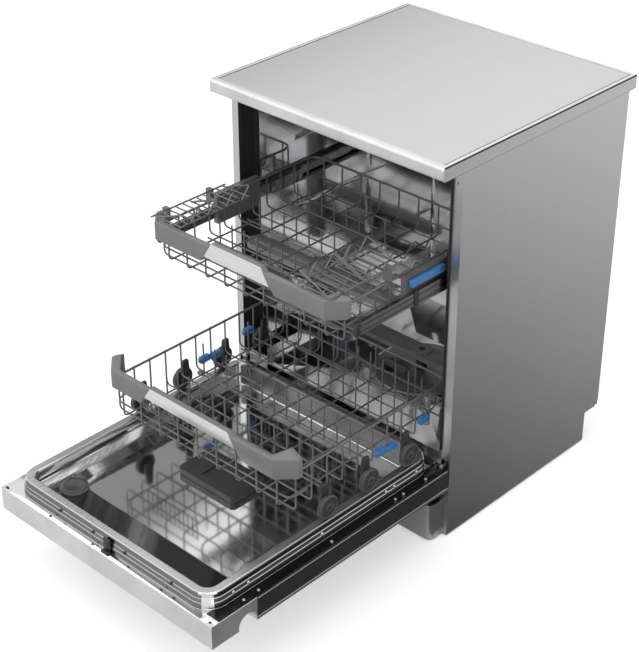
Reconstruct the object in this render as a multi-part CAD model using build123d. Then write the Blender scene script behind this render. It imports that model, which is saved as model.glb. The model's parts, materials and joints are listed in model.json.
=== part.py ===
from build123d import *
import os
from math import cos, pi, sin

os.makedirs("parts", exist_ok=True)

# A freestanding dishwasher with its door open and both racks drawn out.
# Sizes are in millimetres. X runs across the front, Y from the front to the back and Z up.
# Pieces are drawn with Y zero at the cabinet's front plane, and save() moves them so that
# the origin is at the middle of the whole machine's footprint.

# Cabinet
width = 598.0
height = 845.0
top_thickness = 28.6
top_overhang = 58.0
top_overhang_back = 21.6
top_skin = 1.2
top_edge_radius = 6.3
plate_recess = 1.2
plate_thickness = 0.9
plate_border_side = 9.0
plate_border_front = 14.0
plate_border_back = 8.0
plate_side_gap = 2.4
plate_end_gap = 0.8
side_depth = 517.6
panel_sheet = 0.8
stile_width = 22.0
stile_return = 62.0
crossbar_height = 14.4
crossbar_depth = 22.0
foot_height = 3.0
foot_radius = 18.0
foot_stem_radius = 5.0
foot_stem_length = 30.0
foot_inset_side = 37.0
foot_inset_front = 40.0
foot_inset_back = 32.0
notch_depth = 47.6
notch_height = 74.0
notch_chamfer = 12.0
base_top = 84.0
base_wall = 3.0
plinth_front = 38.4
plinth_height = 88.0
plinth_side_gap = 11.0
plinth_sheet = 1.2
plinth_corner = 14.0
plinth_lip = 4.5
back_sheet = 0.8
back_inset = 1.0

# Tub
tub_side_gap = 30.0
tub_back_gap = 20.6
tub_sheet = 0.6
tub_floor = 165.0
tub_corner = 24.0
tub_lip_front = 1.5
mouth_side_gap = 24.4
ledge_width = 22.0
ledge_front = 36.0
funnel_depth = 13.0
funnel_half = 110.0
gasket_front = -5.0
gasket_end = 47.0
gasket_thickness = 2.2
strip_end = 61.5
strip_height = 7.0
strike_half = 8.0
strike_depth = 18.0
strike_height = 12.0
strike_front = 6.0

# Water works
sump_radius = 100.0
sump_wall = 3.0
sump_depth = 56.0
hub_radius = 12.0
arm_pin_radius = 7.0
arm_pin_length = 18.0
arm_stop = 5.0
arm_gap = 1.0
arm_height = 12.0
arm_hub_rise = 3.0
lower_arm_z = 188.0
lower_arm_length = 410.0
lower_arm_width = 46.0
upper_arm_length = 400.0
upper_arm_width = 44.0
ceiling_arm_length = 200.0
ceiling_arm_width = 36.0
ceiling_arm_drop = 27.0
cup_radius = 32.0
cup_x = -48.0
cup_y_offset = -32.0
cup_gap = 0.4
cup_drop = 40.0
cup_wall = 2.0
filter_thickness = 2.0
feed_half = 18.0
feed_depth = 14.0
feed_tube_radius = 8.0
pipe_thickness = 10.0
port_radius = 13.0
port_length = 12.0
port_wall = 3.0
pump_radius = 38.0
pump_x = 172.0
pump_half = 60.0
pump_pipe_radius = 12.0
drain_radius = 26.0
drain_half = 36.0
drain_pipe_radius = 9.0
pipe_rise = 22.0
counterweight_half = 200.0
counterweight_depth = 84.0
counterweight_height = 62.0
port_plate_gap = 49.0
port_plate_width = 120.0
port_pitch = 35.0
port_z = 44.0
port_plate_thickness = 4.0
inlet_radius = 11.0
inlet_length = 20.0
spigot_radius = 9.0
spigot_length = 26.0
gland_radius = 8.0
gland_length = 8.0

# Open door, lying flat in front of the cabinet
door_reach = 648.4
door_gap = 0.5
door_outer_z = 118.0
door_thickness = 52.0
pivot_forward = 4.4
pivot_drop = 2.0
skin_sheet = 0.8
skirt_length = 60.1
skirt_rise = 12.0
panel_length = 66.4
scoop_length = 44.0
scoop_depth = 28.0
panel_wall = 2.0
frame_wall = 3.0
liner_side_gap = 25.0
liner_sheet = 0.6
liner_margin = 1.0
liner_far = 634.0
liner_near = 16.0
liner_corner = 45.0
rim_rise = 33.0
rim_width = 25.0
pan_far = 600.0
pan_drop = 20.0
pan_corner = 32.0
button_radius = 8.0
button_inset = 63.0
button_travel = 1.5
hinge_notch_half = 8.0
hinge_notch_length = 15.5
hinge_plate = 3.0
hinge_plate_inset = 12.5
hinge_boss = 7.0
hinge_back = 60.0
pin_radius = 4.0
running_gap = 0.05
seat_gap = 0.3
arm_length = 80.0
dispenser_x0 = -104.0
dispenser_x1 = 54.0
dispenser_y = -315.0
dispenser_wide = 92.0
dispenser_tall = 15.0
lid_length = 48.0
lid_wide = 64.0
lid_thickness = 3.0
lid_travel = 45.0
rinse_radius = 16.0
rinse_x = 30.0
rinse_offset = 22.0
vent_radius = 30.0
vent_inset = 44.0

# Racks
wire_radius = 2.0
rim_wire_radius = 2.5
weld_depth = 0.8
first_hoop = 18.0
corner_run = 32.0
hoop_count = 11
long_count = 9
basket_setback = 5.1
rack_rear_gap = 7.0
rail_length = 400.0
rail_back_gap = 27.0
rail_bottom = 562.0
rail_height = 36.0
rail_depth = 11.0
rail_sheet = 1.2
rail_play = 1.8
upper_travel = 289.0
upper_front = 283.4
upper_rim_z = 622.0
upper_floor_z = 552.0
upper_side_gap = 29.0
upper_handle_z = 601.6
upper_handle_height = 39.9
upper_grip_inset = 16.0
upper_wing_out = 12.0
upper_wing_back = 42.0
upper_inlay_half = 66.0
upper_inlay_slant = 18.0
upper_rows = (-150.0, -40.0, 70.0)
upper_row_end = 56.0
upper_prong_count = 8
upper_prong_height = 52.0
lift_plate_length = 120.0
lift_plate_front = -100.0
lift_plate_z = 560.0
lift_plate_inset = 14.0
lever_z = 612.0
lever_pivot = -6.0
lever_reach = 88.0
lever_thickness = 9.0
lever_half_height = 8.0
lever_pin_radius = 3.0
shelf_z = 648.0
shelf_front = -285.0
shelf_length = 200.0
shelf_reach = 78.0
shelf_inset = 7.0
shelf_bars = 9
shelf_knuckle = 5.0
shelf_clip_inset = 42.5
lower_travel = 423.0
lower_front = 417.4
lower_rim_z = 330.0
lower_floor_z = 250.0
lower_side_gap = 23.5
lower_handle_z = 326.0
lower_handle_height = 42.0
lower_grip_inset = 23.5
lower_wing_out = 11.5
lower_wing_back = 44.0
lower_inlay_half = 106.0
lower_inlay_slant = 17.0
inlay_thickness = 1.5
fixed_rows = (-292.0, -62.0)
hinged_rows = (-190.0, 20.0)
tine_count = 13
tine_inset = 42.0
tine_height = 76.0
tine_radius = 1.8
wheel_radius = 25.0
wheel_width = 10.0
wheel_gap = 1.3
wheel_pitch = 115.3
wheel_first = -314.0
wheel_count = 4
wheel_inset = 12.0
axle_radius = 3.5
bracket_half = 16.0
bracket_rise = 28.0
handle_wall = 14.0

# Derived places
half = width / 2
top_back = side_depth + top_overhang_back
tub_back = side_depth - tub_back_gap
front_y = (door_reach - top_back) / 2
under_top = height - top_thickness
opening_half = half - stile_width
opening_top = under_top - crossbar_height
ground = foot_height
door_flange_z = door_outer_z + door_thickness
pivot_z = door_flange_z - pivot_drop
rim_z = door_flange_z + rim_rise
pan_z = door_flange_z - pan_drop
ledge_z = rim_z
liner_half = half - liner_side_gap
skirt_half = liner_half
pan_half = liner_half - rim_width
plinth_half = half - plinth_side_gap
tub_half = half - tub_side_gap
tub_mouth_half = half - mouth_side_gap
tub_top = opening_top - strip_height
ledge_half = tub_half - ledge_width
funnel_z = tub_floor - funnel_depth
ceiling_arm_z = tub_top - ceiling_arm_drop
skin_far = door_reach - panel_length - scoop_length - panel_wall
tub_centre = (ledge_front + tub_back) / 2
feed_front = tub_back - feed_depth
upper_half = tub_half - upper_side_gap
lower_half = tub_half - lower_side_gap
upper_near = -upper_front + handle_wall + basket_setback
lower_near = -lower_front + handle_wall + basket_setback
upper_rear = feed_front - port_length - rack_rear_gap - upper_travel
lower_rear = feed_front - rack_rear_gap - lower_travel
rail_back = tub_back - rail_back_gap
wheel_x = liner_half - wheel_inset
wheel_z = rim_z + wheel_gap + wheel_radius
skin_end = skirt_length - door_gap
hinge_plate_x = half - hinge_plate_inset
button_places = (button_inset - half, half - button_inset)
button_out = button_travel + seat_gap
weld_step = 2 * wire_radius - weld_depth


def block(x0, x1, y0, y1, z0, z1):
    """A box between two opposite corners."""
    centre = Pos((x0 + x1) / 2, (y0 + y1) / 2, (z0 + z1) / 2)
    return centre * Box(abs(x1 - x0), abs(y1 - y0), abs(z1 - z0))


def slab(half_width, y0, y1, z0, z1, radius):
    """A box centred on X whose four upright edges are rounded."""
    outline = RectangleRounded(2 * half_width, y1 - y0, radius)
    return Pos(0, (y0 + y1) / 2, z0) * extrude(outline, z1 - z0)


def tunnel(half_width, y0, y1, z0, z1, radius):
    """A box centred on X whose four edges along Y are rounded."""
    mouth = Plane((0, y0, (z0 + z1) / 2), x_dir=(1, 0, 0), z_dir=(0, 1, 0))
    return extrude(mouth * RectangleRounded(2 * half_width, z1 - z0, radius), y1 - y0)


def across(points, x0, x1):
    """A prism along X over a closed outline given as (y, z) points."""
    outline = make_face(Polyline(*[(x0, y, z) for y, z in points], close=True))
    return extrude(outline, x1 - x0, dir=(1, 0, 0))


def post(x, y, z0, z1, radius):
    """An upright cylinder."""
    return Pos(x, y, (z0 + z1) / 2) * Cylinder(radius, z1 - z0)


def rod(start, end, radius):
    """A cylinder between two points."""
    first = Vector(*start)
    run = Vector(*end) - first
    return Solid.make_cylinder(radius, run.length, Plane(origin=first, z_dir=run))


def pin(x0, x1, y, z, radius):
    """A cylinder along X."""
    return rod((x0, y, z), (x1, y, z), radius)


def mirrored(piece):
    """The same piece on the other side of the machine."""
    return mirror(piece, about=Plane.YZ)


def joined(pieces):
    """One solid made of touching pieces."""
    return pieces[0].fuse(*pieces[1:])


def save(name, *shapes):
    """Writes one node, moved from the front plane to the machine's own origin."""
    place = Pos(0, front_y, 0)
    solids = [place * solid for shape in shapes for solid in shape.solids()]
    whole = solids[0] if len(solids) == 1 else Compound(children=solids)
    export_step(whole, "parts/" + name + ".step")


def side_panel():
    """Right side sheet with its front stile, the strip turned into the opening and the back notch."""
    skin = block(half - panel_sheet, half, 0, side_depth, ground, under_top)
    stile = block(opening_half, half, 0, panel_sheet, ground, under_top)
    strip = block(opening_half, opening_half + panel_sheet, 0, stile_return, base_top, under_top)
    notch_y = side_depth - notch_depth
    slope = notch_height + notch_chamfer
    notch = [(notch_y, 0), (side_depth + 1, 0), (side_depth + 1, slope), (side_depth, slope)]
    notch += [(side_depth - notch_chamfer, notch_height), (notch_y, notch_height)]
    slot_z = hinge_boss + 9.0
    slot = block(hinge_plate_x - hinge_notch_half, hinge_plate_x + hinge_notch_half, -1,
                 panel_sheet + 1, pivot_z - slot_z, pivot_z + slot_z)
    return skin + stile + strip - across(notch, half - 2, half + 1) - slot


def top_frame():
    """Top border, open below for the board and sunk in the middle for the plate."""
    outside = block(-half, half, -top_overhang, top_back, under_top, height)
    front_edges = outside.edges().filter_by(Axis.X).group_by(Axis.Y)[0]
    outside = fillet(front_edges, top_edge_radius)
    floor = height - plate_recess - top_skin
    hollow = block(-half + top_skin, half - top_skin, -top_overhang + top_skin,
                   top_back - top_skin, under_top - 1, floor)
    room = plate_room()
    recess = block(*room, height - plate_recess, height + 1)
    return outside - hollow - recess


def plate_room():
    """Edges of the sunk field in the top: two X values and two Y values."""
    side = half - plate_border_side
    return -side, side, -top_overhang + plate_border_front, top_back - plate_border_back


def top_plate():
    """Brushed plate laid in the top's sunk field with a dark gap at both sides."""
    x0, x1, y0, y1 = plate_room()
    bed = height - plate_recess
    return block(x0 + plate_side_gap, x1 - plate_side_gap, y0 + plate_end_gap,
                 y1 - plate_end_gap, bed, bed + plate_thickness)


def top_board():
    """Wooden core that stiffens the top."""
    room = top_skin + seat_gap
    top = height - plate_recess - top_skin
    return block(-half + room, half - room, -top_overhang + top_edge_radius, top_back - room,
                 under_top, top)


def back_panel():
    """Sheet that closes the cabinet behind the tub."""
    side = half - panel_sheet
    back = side_depth - back_inset
    return block(-side, side, back - back_sheet, back, notch_height, under_top)


def crossbar():
    """Channel across the top of the opening."""
    outside = block(-opening_half, opening_half, 0, crossbar_depth, opening_top, under_top)
    inside = block(-opening_half - 1, opening_half + 1, panel_sheet, crossbar_depth + 1,
                   opening_top + panel_sheet, under_top - panel_sheet)
    return outside - inside


def foot_places():
    """X and Y of the four feet."""
    back = side_depth - notch_depth - foot_inset_back
    side = half - foot_inset_side
    return [(sx * side, y) for sx in (-1, 1) for y in (foot_inset_front, back)]


def foot(x, y):
    """Foot disc with its threaded stem."""
    disc = post(x, y, 0, foot_height, foot_radius)
    return disc + post(x, y, foot_height, foot_height + foot_stem_length, foot_stem_radius)


def base_tray():
    """Shallow plastic base that carries the pumps and takes the feet."""
    side = half - panel_sheet
    back = side_depth - notch_depth
    tray = block(-side, side, panel_sheet, back, ground, base_top)
    tray -= block(-side + base_wall, side - base_wall, panel_sheet + base_wall,
                  back - base_wall, ground + base_wall, base_top + 1)
    for x, y in foot_places():
        tray -= post(x, y, 0, base_top, foot_stem_radius + 0.2)
    return tray


def plinth():
    """Kick plate with rounded corners and a narrow lip along its top."""
    outside = slab(plinth_half, -plinth_front, plinth_front, ground, plinth_height, plinth_corner)
    inner_half = plinth_half - plinth_sheet
    inner_corner = plinth_corner - plinth_sheet
    inside = slab(inner_half, -plinth_front + plinth_sheet, plinth_front - plinth_sheet,
                  ground - 1, plinth_height - plinth_sheet, inner_corner)
    mouth = slab(inner_half - plinth_lip, -plinth_front + plinth_sheet + plinth_lip,
                 plinth_front, ground, plinth_height + 1, inner_corner)
    front_half = block(-half, half, -plinth_front - 1, 0, 0, plinth_height + 1)
    return (outside - inside - mouth) & front_half


def tub_space(grow):
    """The tub's inner space, or with grow its outer shape."""
    walls = tunnel(tub_half + grow, strip_end, tub_back + grow, ledge_z - tub_corner,
                   tub_top + grow, tub_corner + grow)
    walls &= block(-half, half, strip_end, tub_back + grow, ledge_z - grow, tub_top + grow)
    well = block(-ledge_half - grow, ledge_half + grow, ledge_front, tub_back + grow,
                 tub_floor - grow, ledge_z)
    mouth = block(-tub_mouth_half - grow, tub_mouth_half + grow, tub_lip_front,
                  ledge_front + grow, tub_floor - grow, ledge_z)
    middle = (ledge_front + tub_back) / 2
    wide = Pos(0, middle, tub_floor) * Rectangle(2 * (ledge_half + grow),
                                                 tub_back - ledge_front + 2 * grow)
    narrow = Pos(0, middle, funnel_z - grow) * Rectangle(2 * (funnel_half + grow),
                                                         2 * (funnel_half + grow))
    funnel = loft([wide.face(), narrow.face()], ruled=True)
    return walls + well + mouth + funnel


def tub():
    """Steel tub with wheel ledges, a sloping floor and the hole for the sump."""
    shelf = block(-opening_half + 0.2, opening_half - 0.2, ledge_front, strip_end + tub_sheet,
                  ledge_z - tub_sheet, ledge_z)
    shell = tub_space(tub_sheet) + shelf - tub_space(0)
    shell -= block(-ledge_half, ledge_half, ledge_front - 1, strip_end + 1, tub_floor, ledge_z + 1)
    return shell - post(0, tub_centre, funnel_z - 5, tub_floor, sump_radius)


def arch(y0, y1, outer_half, inner_half, outer_z, inner_z, foot_z):
    """An upside-down U that follows the sides and the top of the opening."""
    outside = block(-outer_half, outer_half, y0, y1, foot_z, outer_z)
    inside = block(-inner_half, inner_half, y0 - 1, y1 + 1, foot_z - 1, inner_z)
    return outside - inside


def strike_room(slack):
    """The door strike's space under the crossbar, with some slack round it."""
    return block(-strike_half - slack, strike_half + slack, strike_front - slack,
                 strike_front + strike_depth + slack, opening_top - strike_height - slack,
                 opening_top)


def tub_gasket():
    """Rubber door seal along the sides and the top of the opening."""
    outer = opening_half - 0.2
    inner = outer - gasket_thickness
    top = opening_top - 0.1
    seal = arch(gasket_front, gasket_end, outer, inner, top, top - gasket_thickness, ledge_z + 0.3)
    return seal - strike_room(2.0)


def seal_strip():
    """Bright strip between the seal and the tub."""
    outer = opening_half - 0.2
    return arch(gasket_end, strip_end, outer, tub_half, opening_top - 0.1, tub_top,
                ledge_z)


def sump():
    """Bowl under the tub with the post that carries the lower spray arm."""
    top = funnel_z - tub_sheet
    bottom = top - sump_depth
    bowl = post(0, tub_centre, bottom, top, sump_radius + sump_wall)
    bowl -= post(0, tub_centre, bottom + sump_wall, top + 1, sump_radius)
    hub = post(0, tub_centre, bottom, lower_arm_z - arm_gap, hub_radius)
    bearing = post(0, tub_centre, lower_arm_z - arm_gap - 1, lower_arm_z + arm_pin_length,
                   arm_pin_radius)
    return bowl + hub + bearing


def filter_plate():
    """Flat filter disc on the tub floor, with holes for the hub and the cup."""
    plate = post(0, tub_centre, funnel_z, funnel_z + filter_thickness, sump_radius + 6)
    plate -= post(0, tub_centre, funnel_z - 1, funnel_z + 5, hub_radius + 0.3)
    return plate - post(cup_x, tub_centre + cup_y_offset, funnel_z - 1, funnel_z + 5,
                        cup_radius + cup_gap)


def filter_cup():
    """Round filter cup that is turned and lifted out by its grip."""
    y = tub_centre + cup_y_offset
    top = funnel_z + filter_thickness
    cup = post(cup_x, y, top - cup_drop, top, cup_radius)
    cup += post(cup_x, y, top, top + 2, cup_radius + 3)
    cup -= post(cup_x, y, top - cup_drop + cup_wall, top + 3, cup_radius - cup_wall)
    grip = block(cup_x - cup_radius + 1, cup_x + cup_radius - 1, y - 2.5, y + 2.5, top - 10, top + 8)
    return cup + grip


def spray_arm(x, y, z, length, wide):
    """Flat two-ended spray arm with a bearing hole in its hub."""
    blade = Pos(x, y, z) * extrude(SlotOverall(length, wide), arm_height)
    hub = post(x, y, z, z + arm_height + arm_hub_rise, wide * 0.5)
    return blade + hub - post(x, y, z - 1, z + arm_height + 5, arm_pin_radius + running_gap)


def spray_feed():
    """Water duct up the tub's back wall and along its ceiling, with the upper rack's port."""
    front = feed_front
    duct = block(-feed_half, feed_half, front, tub_back, ledge_z, tub_top)
    port_z = upper_feed_z()
    port = rod((0, front - port_length, port_z), (0, front + 1, port_z), port_radius)
    port -= rod((0, front - port_length - 1, port_z), (0, front, port_z), port_radius - port_wall)
    pipe = block(-feed_half * 0.6, feed_half * 0.6, tub_centre - hub_radius, front + 1,
                 tub_top - pipe_thickness, tub_top)
    bearing = post(0, tub_centre, ceiling_arm_z - 2, tub_top - pipe_thickness, arm_pin_radius)
    stop = post(0, tub_centre, ceiling_arm_z - 4, ceiling_arm_z - arm_gap,
                arm_pin_radius + arm_stop)
    return duct + port + pipe + bearing + stop


def upper_feed_z():
    """Height of the feed tube under the upper rack."""
    return upper_floor_z - wire_radius - feed_tube_radius - seat_gap


def upper_arm_z():
    """Underside of the upper spray arm's blades."""
    return upper_feed_z() - feed_tube_radius - arm_height - arm_hub_rise - arm_gap


def outer_rail():
    """Fixed channel on the right tub wall."""
    x0 = tub_half - rail_depth
    z1 = rail_bottom + rail_height
    front = rail_back - rail_length
    channel = block(x0, tub_half, front, rail_back, rail_bottom, z1)
    channel -= block(x0 - 1, tub_half - rail_sheet, front - 1, rail_back + 1,
                     rail_bottom + rail_sheet, z1 - rail_sheet)
    for z in (rail_bottom, z1 - 5):
        channel += block(x0, x0 + rail_sheet, front, rail_back, z, z + 5)
    return channel


def middle_rail():
    """Sliding channel half way between the fixed rail and the rack's rail."""
    x1 = tub_half - rail_sheet - 0.6
    x0 = x1 - 6.6
    z0 = rail_bottom + rail_sheet + rail_play
    z1 = rail_bottom + rail_height - rail_sheet - rail_play
    front = rail_back - rail_length - upper_travel / 2 - 10.0
    channel = block(x0, x1, front, front + rail_length, z0, z1)
    return channel - block(x0 - 1, x1 - rail_sheet, front - 1, front + rail_length + 1,
                           z0 + rail_sheet, z1 - rail_sheet)


def inner_rail():
    """Bar fixed to the upper rack, running inside the middle rail."""
    x1 = tub_half - 2 * rail_sheet - 1.2
    z0 = rail_bottom + 2 * rail_sheet + rail_play + 1.5
    z1 = rail_bottom + rail_height - 2 * rail_sheet - rail_play - 1.5
    front = inner_rail_front()
    return block(lift_plate_x(), x1, front, front + rail_length, z0, z1)


def inner_rail_front():
    """Front end of the rack's own rail."""
    return rail_back - rail_length - upper_travel - 23.0


def lift_plate_x():
    """Outer face of the plates that join the upper basket to its rails."""
    return tub_half - lift_plate_inset


def lift_plate():
    """Plate between the upper basket and its rail, with the lever's pin."""
    x1 = lift_plate_x()
    x0 = upper_half + rim_wire_radius + 0.5
    back = lift_plate_front + lift_plate_length
    plate = block(x0, x1, lift_plate_front, back, lift_plate_z, upper_rim_z + 3)
    return plate + pin(x1 - 1, x1 + lever_thickness + 2, lever_pivot, lever_z, lever_pin_radius)


def height_lever():
    """Blue lever that lets the upper rack sit higher or lower."""
    x0 = lift_plate_x() + 0.6
    x1 = x0 + lever_thickness
    bar = block(x0, x1, lever_pivot - lever_reach, lever_pivot + 10, lever_z - lever_half_height,
                lever_z + lever_half_height)
    bar = fillet(bar.edges().filter_by(Axis.X), 5)
    return bar - pin(x0 - 1, x1 + 1, lever_pivot, lever_z, lever_pin_radius + running_gap)


def handle(front, z0, tall, front_half, wing_x, wing_back, wall):
    """Rack handle: a bar with slanted ends that run back along the sides."""
    y0 = -front
    outer = [(-wing_x, y0 + wing_back), (-wing_x, y0 + wing_back * 0.72), (-front_half, y0)]
    outer += [(front_half, y0), (wing_x, y0 + wing_back * 0.72), (wing_x, y0 + wing_back)]
    slim = wing_x - wall * 0.6
    inner = [(slim, y0 + wing_back), (slim, y0 + wing_back * 0.8), (front_half - 8, y0 + wall)]
    inner += [(8 - front_half, y0 + wall), (-slim, y0 + wing_back * 0.8), (-slim, y0 + wing_back)]
    outline = make_face(Polyline(*[(x, y, z0) for x, y in outer + inner], close=True))
    return extrude(outline, tall, dir=(0, 0, 1))


def inlay(front, z0, tall, half_top, slant, thick):
    """Bright plate on the front of a handle, with slanted ends."""
    points = [(-half_top, tall), (half_top, tall), (half_top + slant, 0), (-half_top - slant, 0)]
    outline = make_face(Polyline(*[(x, -front, z0 + z) for x, z in points], close=True))
    return extrude(outline, thick, dir=(0, -1, 0))


def spread(first, last, count):
    """Evenly spaced values, both ends included."""
    return [first + (last - first) * i / (count - 1) for i in range(count)]


def basket(side, y0, y1, floor_z, rim_height):
    """Welded wire basket: hoops across, floor wires along, and rims at two heights."""
    step = weld_step
    rim_step = wire_radius + rim_wire_radius - weld_depth
    bite = wire_radius * 0.8
    upright = wire_radius * 0.92
    hug = 2 * upright - weld_depth
    wires = []
    for y in spread(y0 + first_hoop, y1 - first_hoop, hoop_count):
        wires.append(rod((-side - bite, y, floor_z), (side + bite, y, floor_z), wire_radius))
        for x in (-side, side):
            wires.append(rod((x, y, floor_z - bite), (x, y, rim_height), upright))
    for x in spread(corner_run - side, side - corner_run, long_count):
        wires.append(rod((x, y0 - bite, floor_z + step), (x, y1 + bite, floor_z + step),
                         wire_radius))
        for y in (y0, y1):
            wires.append(rod((x, y, floor_z + step - bite), (x, y, rim_height), upright))
    low = floor_z + (rim_height - floor_z) * 0.35
    for z, radius, gap in ((rim_height, rim_wire_radius, rim_step), (low, wire_radius, step)):
        for x in (gap - side, side - gap):
            wires.append(rod((x, y0 + first_hoop - bite, z), (x, y1 + hug + bite, z), radius))
        for y, reach in ((y0 - hug, side - corner_run + 0.5), (y1 + hug, side - gap + bite)):
            wires.append(rod((-reach, y, z + 0.6), (reach, y, z + 0.6), upright))
    return wires


def tines(y, z0, tall, places):
    """A row of upright prongs across the basket."""
    return [rod((x, y, z0), (x, y, z0 + tall), tine_radius) for x in places]


def upper_basket():
    """Upper wire basket with two rows of fixed prongs and its cross tube's hooks."""
    wires = basket(upper_half, upper_near, upper_rear, upper_floor_z, upper_rim_z)
    row = spread(upper_row_end - upper_half, upper_row_end, upper_prong_count)
    across_z = upper_floor_z + 2 * weld_step
    for y in upper_rows:
        wires.append(rod((row[0] - 36, y, across_z), (row[-1] + 14, y, across_z), wire_radius))
        wires += tines(y, across_z - 1, upper_prong_height, row)
    return joined(wires)


def lower_basket():
    """Lower wire basket with two rows of fixed prongs for plates."""
    wires = basket(lower_half, lower_near, lower_rear, lower_floor_z, lower_rim_z)
    across_z = lower_floor_z + 2 * weld_step
    reach = lower_half - tine_inset / 2
    for y in fixed_rows:
        wires.append(rod((-reach, y, across_z), (reach, y, across_z), wire_radius))
        wires += tines(y, across_z - 1, tine_height, tine_places())
    return joined(wires)


def tine_places():
    """X places of the prongs in a lower row."""
    return spread(tine_inset - lower_half, lower_half - tine_inset, tine_count)


def tine_row(y):
    """Folding prongs on their own rod, hooked above the floor wires."""
    z = tine_row_z()
    reach = lower_half - tine_inset / 2 - 1
    rail = rod((-reach, y, z), (reach, y, z), wire_radius)
    return joined([rail] + tines(y, z, tine_height, tine_places()))


def tine_row_z():
    """Height of the folding rows' rods, just clear of the floor wires."""
    return lower_floor_z + weld_step + 2 * wire_radius + cup_gap


def cup_shelf():
    """Right-hand folding cup shelf of bent wire with W-shaped tops, hung on a rod."""
    x = shelf_x()
    z = shelf_z
    y0 = shelf_front
    y1 = shelf_front + shelf_length
    far = x - shelf_reach
    bar = wire_radius * 0.9
    rise = weld_step
    wires = [rod((x, y0, z), (x, y1, z), wire_radius)]
    for y in spread(y0 + 8, y1 - 8, shelf_bars):
        wires.append(rod((x, y, z), (far - bar, y, z), bar))
    wires.append(rod((far, y0 + 4, z + rise), (far, y1 - 4, z + rise), wire_radius))
    for y in spread(y0 + 34, y1 - 34, 3):
        wires += zigzag(far, y, z + rise)
    return joined(wires)


def zigzag(x, y, z):
    """One W of wire standing on the shelf's free edge."""
    tall = 24.0
    pitch = 11.0
    thin = wire_radius * 0.75
    points = [(x, y + (i - 2) * pitch, z + (tall if i % 2 == 0 else tall * 0.3))
              for i in range(5)]
    points = [(x, points[0][1], z)] + points + [(x, points[-1][1], z)]
    legs = [rod(a, b, thin) for a, b in zip(points, points[1:])]
    return legs + [Pos(*point) * Sphere(thin * 1.15) for point in points[1:-1]]


def shelf_x():
    """Hinge line of the cup shelves."""
    return upper_half - shelf_inset


def shelf_hinges():
    """Two clips on the upper rim that carry the right cup shelf's rod."""
    clips = []
    for y in (shelf_front + shelf_clip_inset, shelf_front + shelf_length - shelf_clip_inset):
        body = block(shelf_x() - shelf_knuckle, upper_half + 1, y - 5, y + 5,
                     upper_rim_z + rim_wire_radius + seat_gap, shelf_z + shelf_knuckle)
        clips.append(body - rod((shelf_x(), y - 6, shelf_z), (shelf_x(), y + 6, shelf_z),
                                wire_radius + running_gap))
    return clips


def wheel_places():
    """Y of the four wheels on each side of the lower rack."""
    return [wheel_first + i * wheel_pitch for i in range(wheel_count)]


def wheel(y):
    """Right wheel with a rim, a thin web and a bored hub."""
    x0 = wheel_x - wheel_width / 2
    x1 = wheel_x + wheel_width / 2
    disc = pin(x0, x1, y, wheel_z, wheel_radius)
    for face in (x0, x1):
        disc -= (pin(face - 3, face + 3, y, wheel_z, wheel_radius - 4)
                 - pin(face - 4, face + 4, y, wheel_z, 8))
    return disc - pin(x0 - 1, x1 + 1, y, wheel_z, axle_radius + running_gap)


def wheel_bracket(y):
    """Black bracket on the lower basket with the axle of one right wheel."""
    x0 = lower_half + wire_radius + seat_gap
    x1 = wheel_x - wheel_width / 2 - 0.6
    plate = block(x0, x1, y - bracket_half, y + bracket_half, wheel_z - 10,
                  lower_floor_z + bracket_rise)
    return plate + pin(x1 - 1, wheel_x + wheel_width / 2 + 0.8, y, wheel_z, axle_radius)


def upper_feed():
    """Feed tube under the upper rack with the bearing of its spray arm."""
    z = upper_feed_z()
    back = feed_front - port_length - seat_gap - upper_travel
    tube = rod((0, upper_arm_y(), z), (0, back, z), feed_tube_radius)
    elbow = post(0, upper_arm_y(), z - feed_tube_radius, z + feed_tube_radius, feed_tube_radius + 4)
    bearing = post(0, upper_arm_y(), upper_arm_z() - 3, z, arm_pin_radius)
    stop = post(0, upper_arm_y(), upper_arm_z() - arm_gap - 4, upper_arm_z() - arm_gap,
                arm_pin_radius + arm_stop)
    return tube + elbow + bearing + stop


def upper_arm_y():
    """Y of the upper spray arm's axis with the rack drawn out."""
    return tub_centre - upper_travel - 30.0


def door_panel():
    """Outer steel skin of the door with the narrow skirt below the hinge."""
    z0 = door_outer_z
    skin = block(-half, half, -skin_far, -door_gap, z0, z0 + skin_sheet)
    for side in (-1, 1):
        skin += block(side * half, side * (half - skin_sheet), -skin_far, -door_gap, z0, z0 + 6)
    run = [(-6, z0), (skin_end, z0 + skirt_rise), (skin_end, z0 + skirt_rise + skin_sheet)]
    run.append((-6, z0 + skin_sheet))
    return skin + across(run, -skirt_half, skirt_half)


def scoop(grow):
    """The finger scoop's round hollow, or with grow the outside of its wall."""
    half_chord = scoop_length / 2
    radius = (half_chord ** 2 + scoop_depth ** 2) / (2 * scoop_depth)
    y = -door_reach + panel_length + half_chord
    return pin(-half - 1, half + 1, y, door_outer_z + scoop_depth - radius, radius + grow)


def control_panel():
    """Hollow moulding at the door's far end with a finger scoop across its whole width."""
    top = door_flange_z - liner_sheet
    inner_half = half - panel_wall
    body = block(-half, half, -door_reach, -skin_far, door_outer_z, top)
    body -= block(-inner_half, inner_half, -door_reach + panel_wall, -skin_far - panel_wall,
                  door_outer_z + panel_wall, top + 1) - scoop(panel_wall)
    body -= scoop(0)
    under_pan = pan_z - liner_sheet - cup_gap
    body -= block(-pan_half - 3, pan_half + 3, -pan_far - 3, 0, under_pan, top + 1)
    for x in button_places:
        body -= post(x, button_y(), door_outer_z - 1, door_outer_z + panel_wall + 1,
                     button_radius + running_gap)
    return body


def button_y():
    """Y of the button row on the control panel."""
    return -door_reach + panel_length / 2


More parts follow.
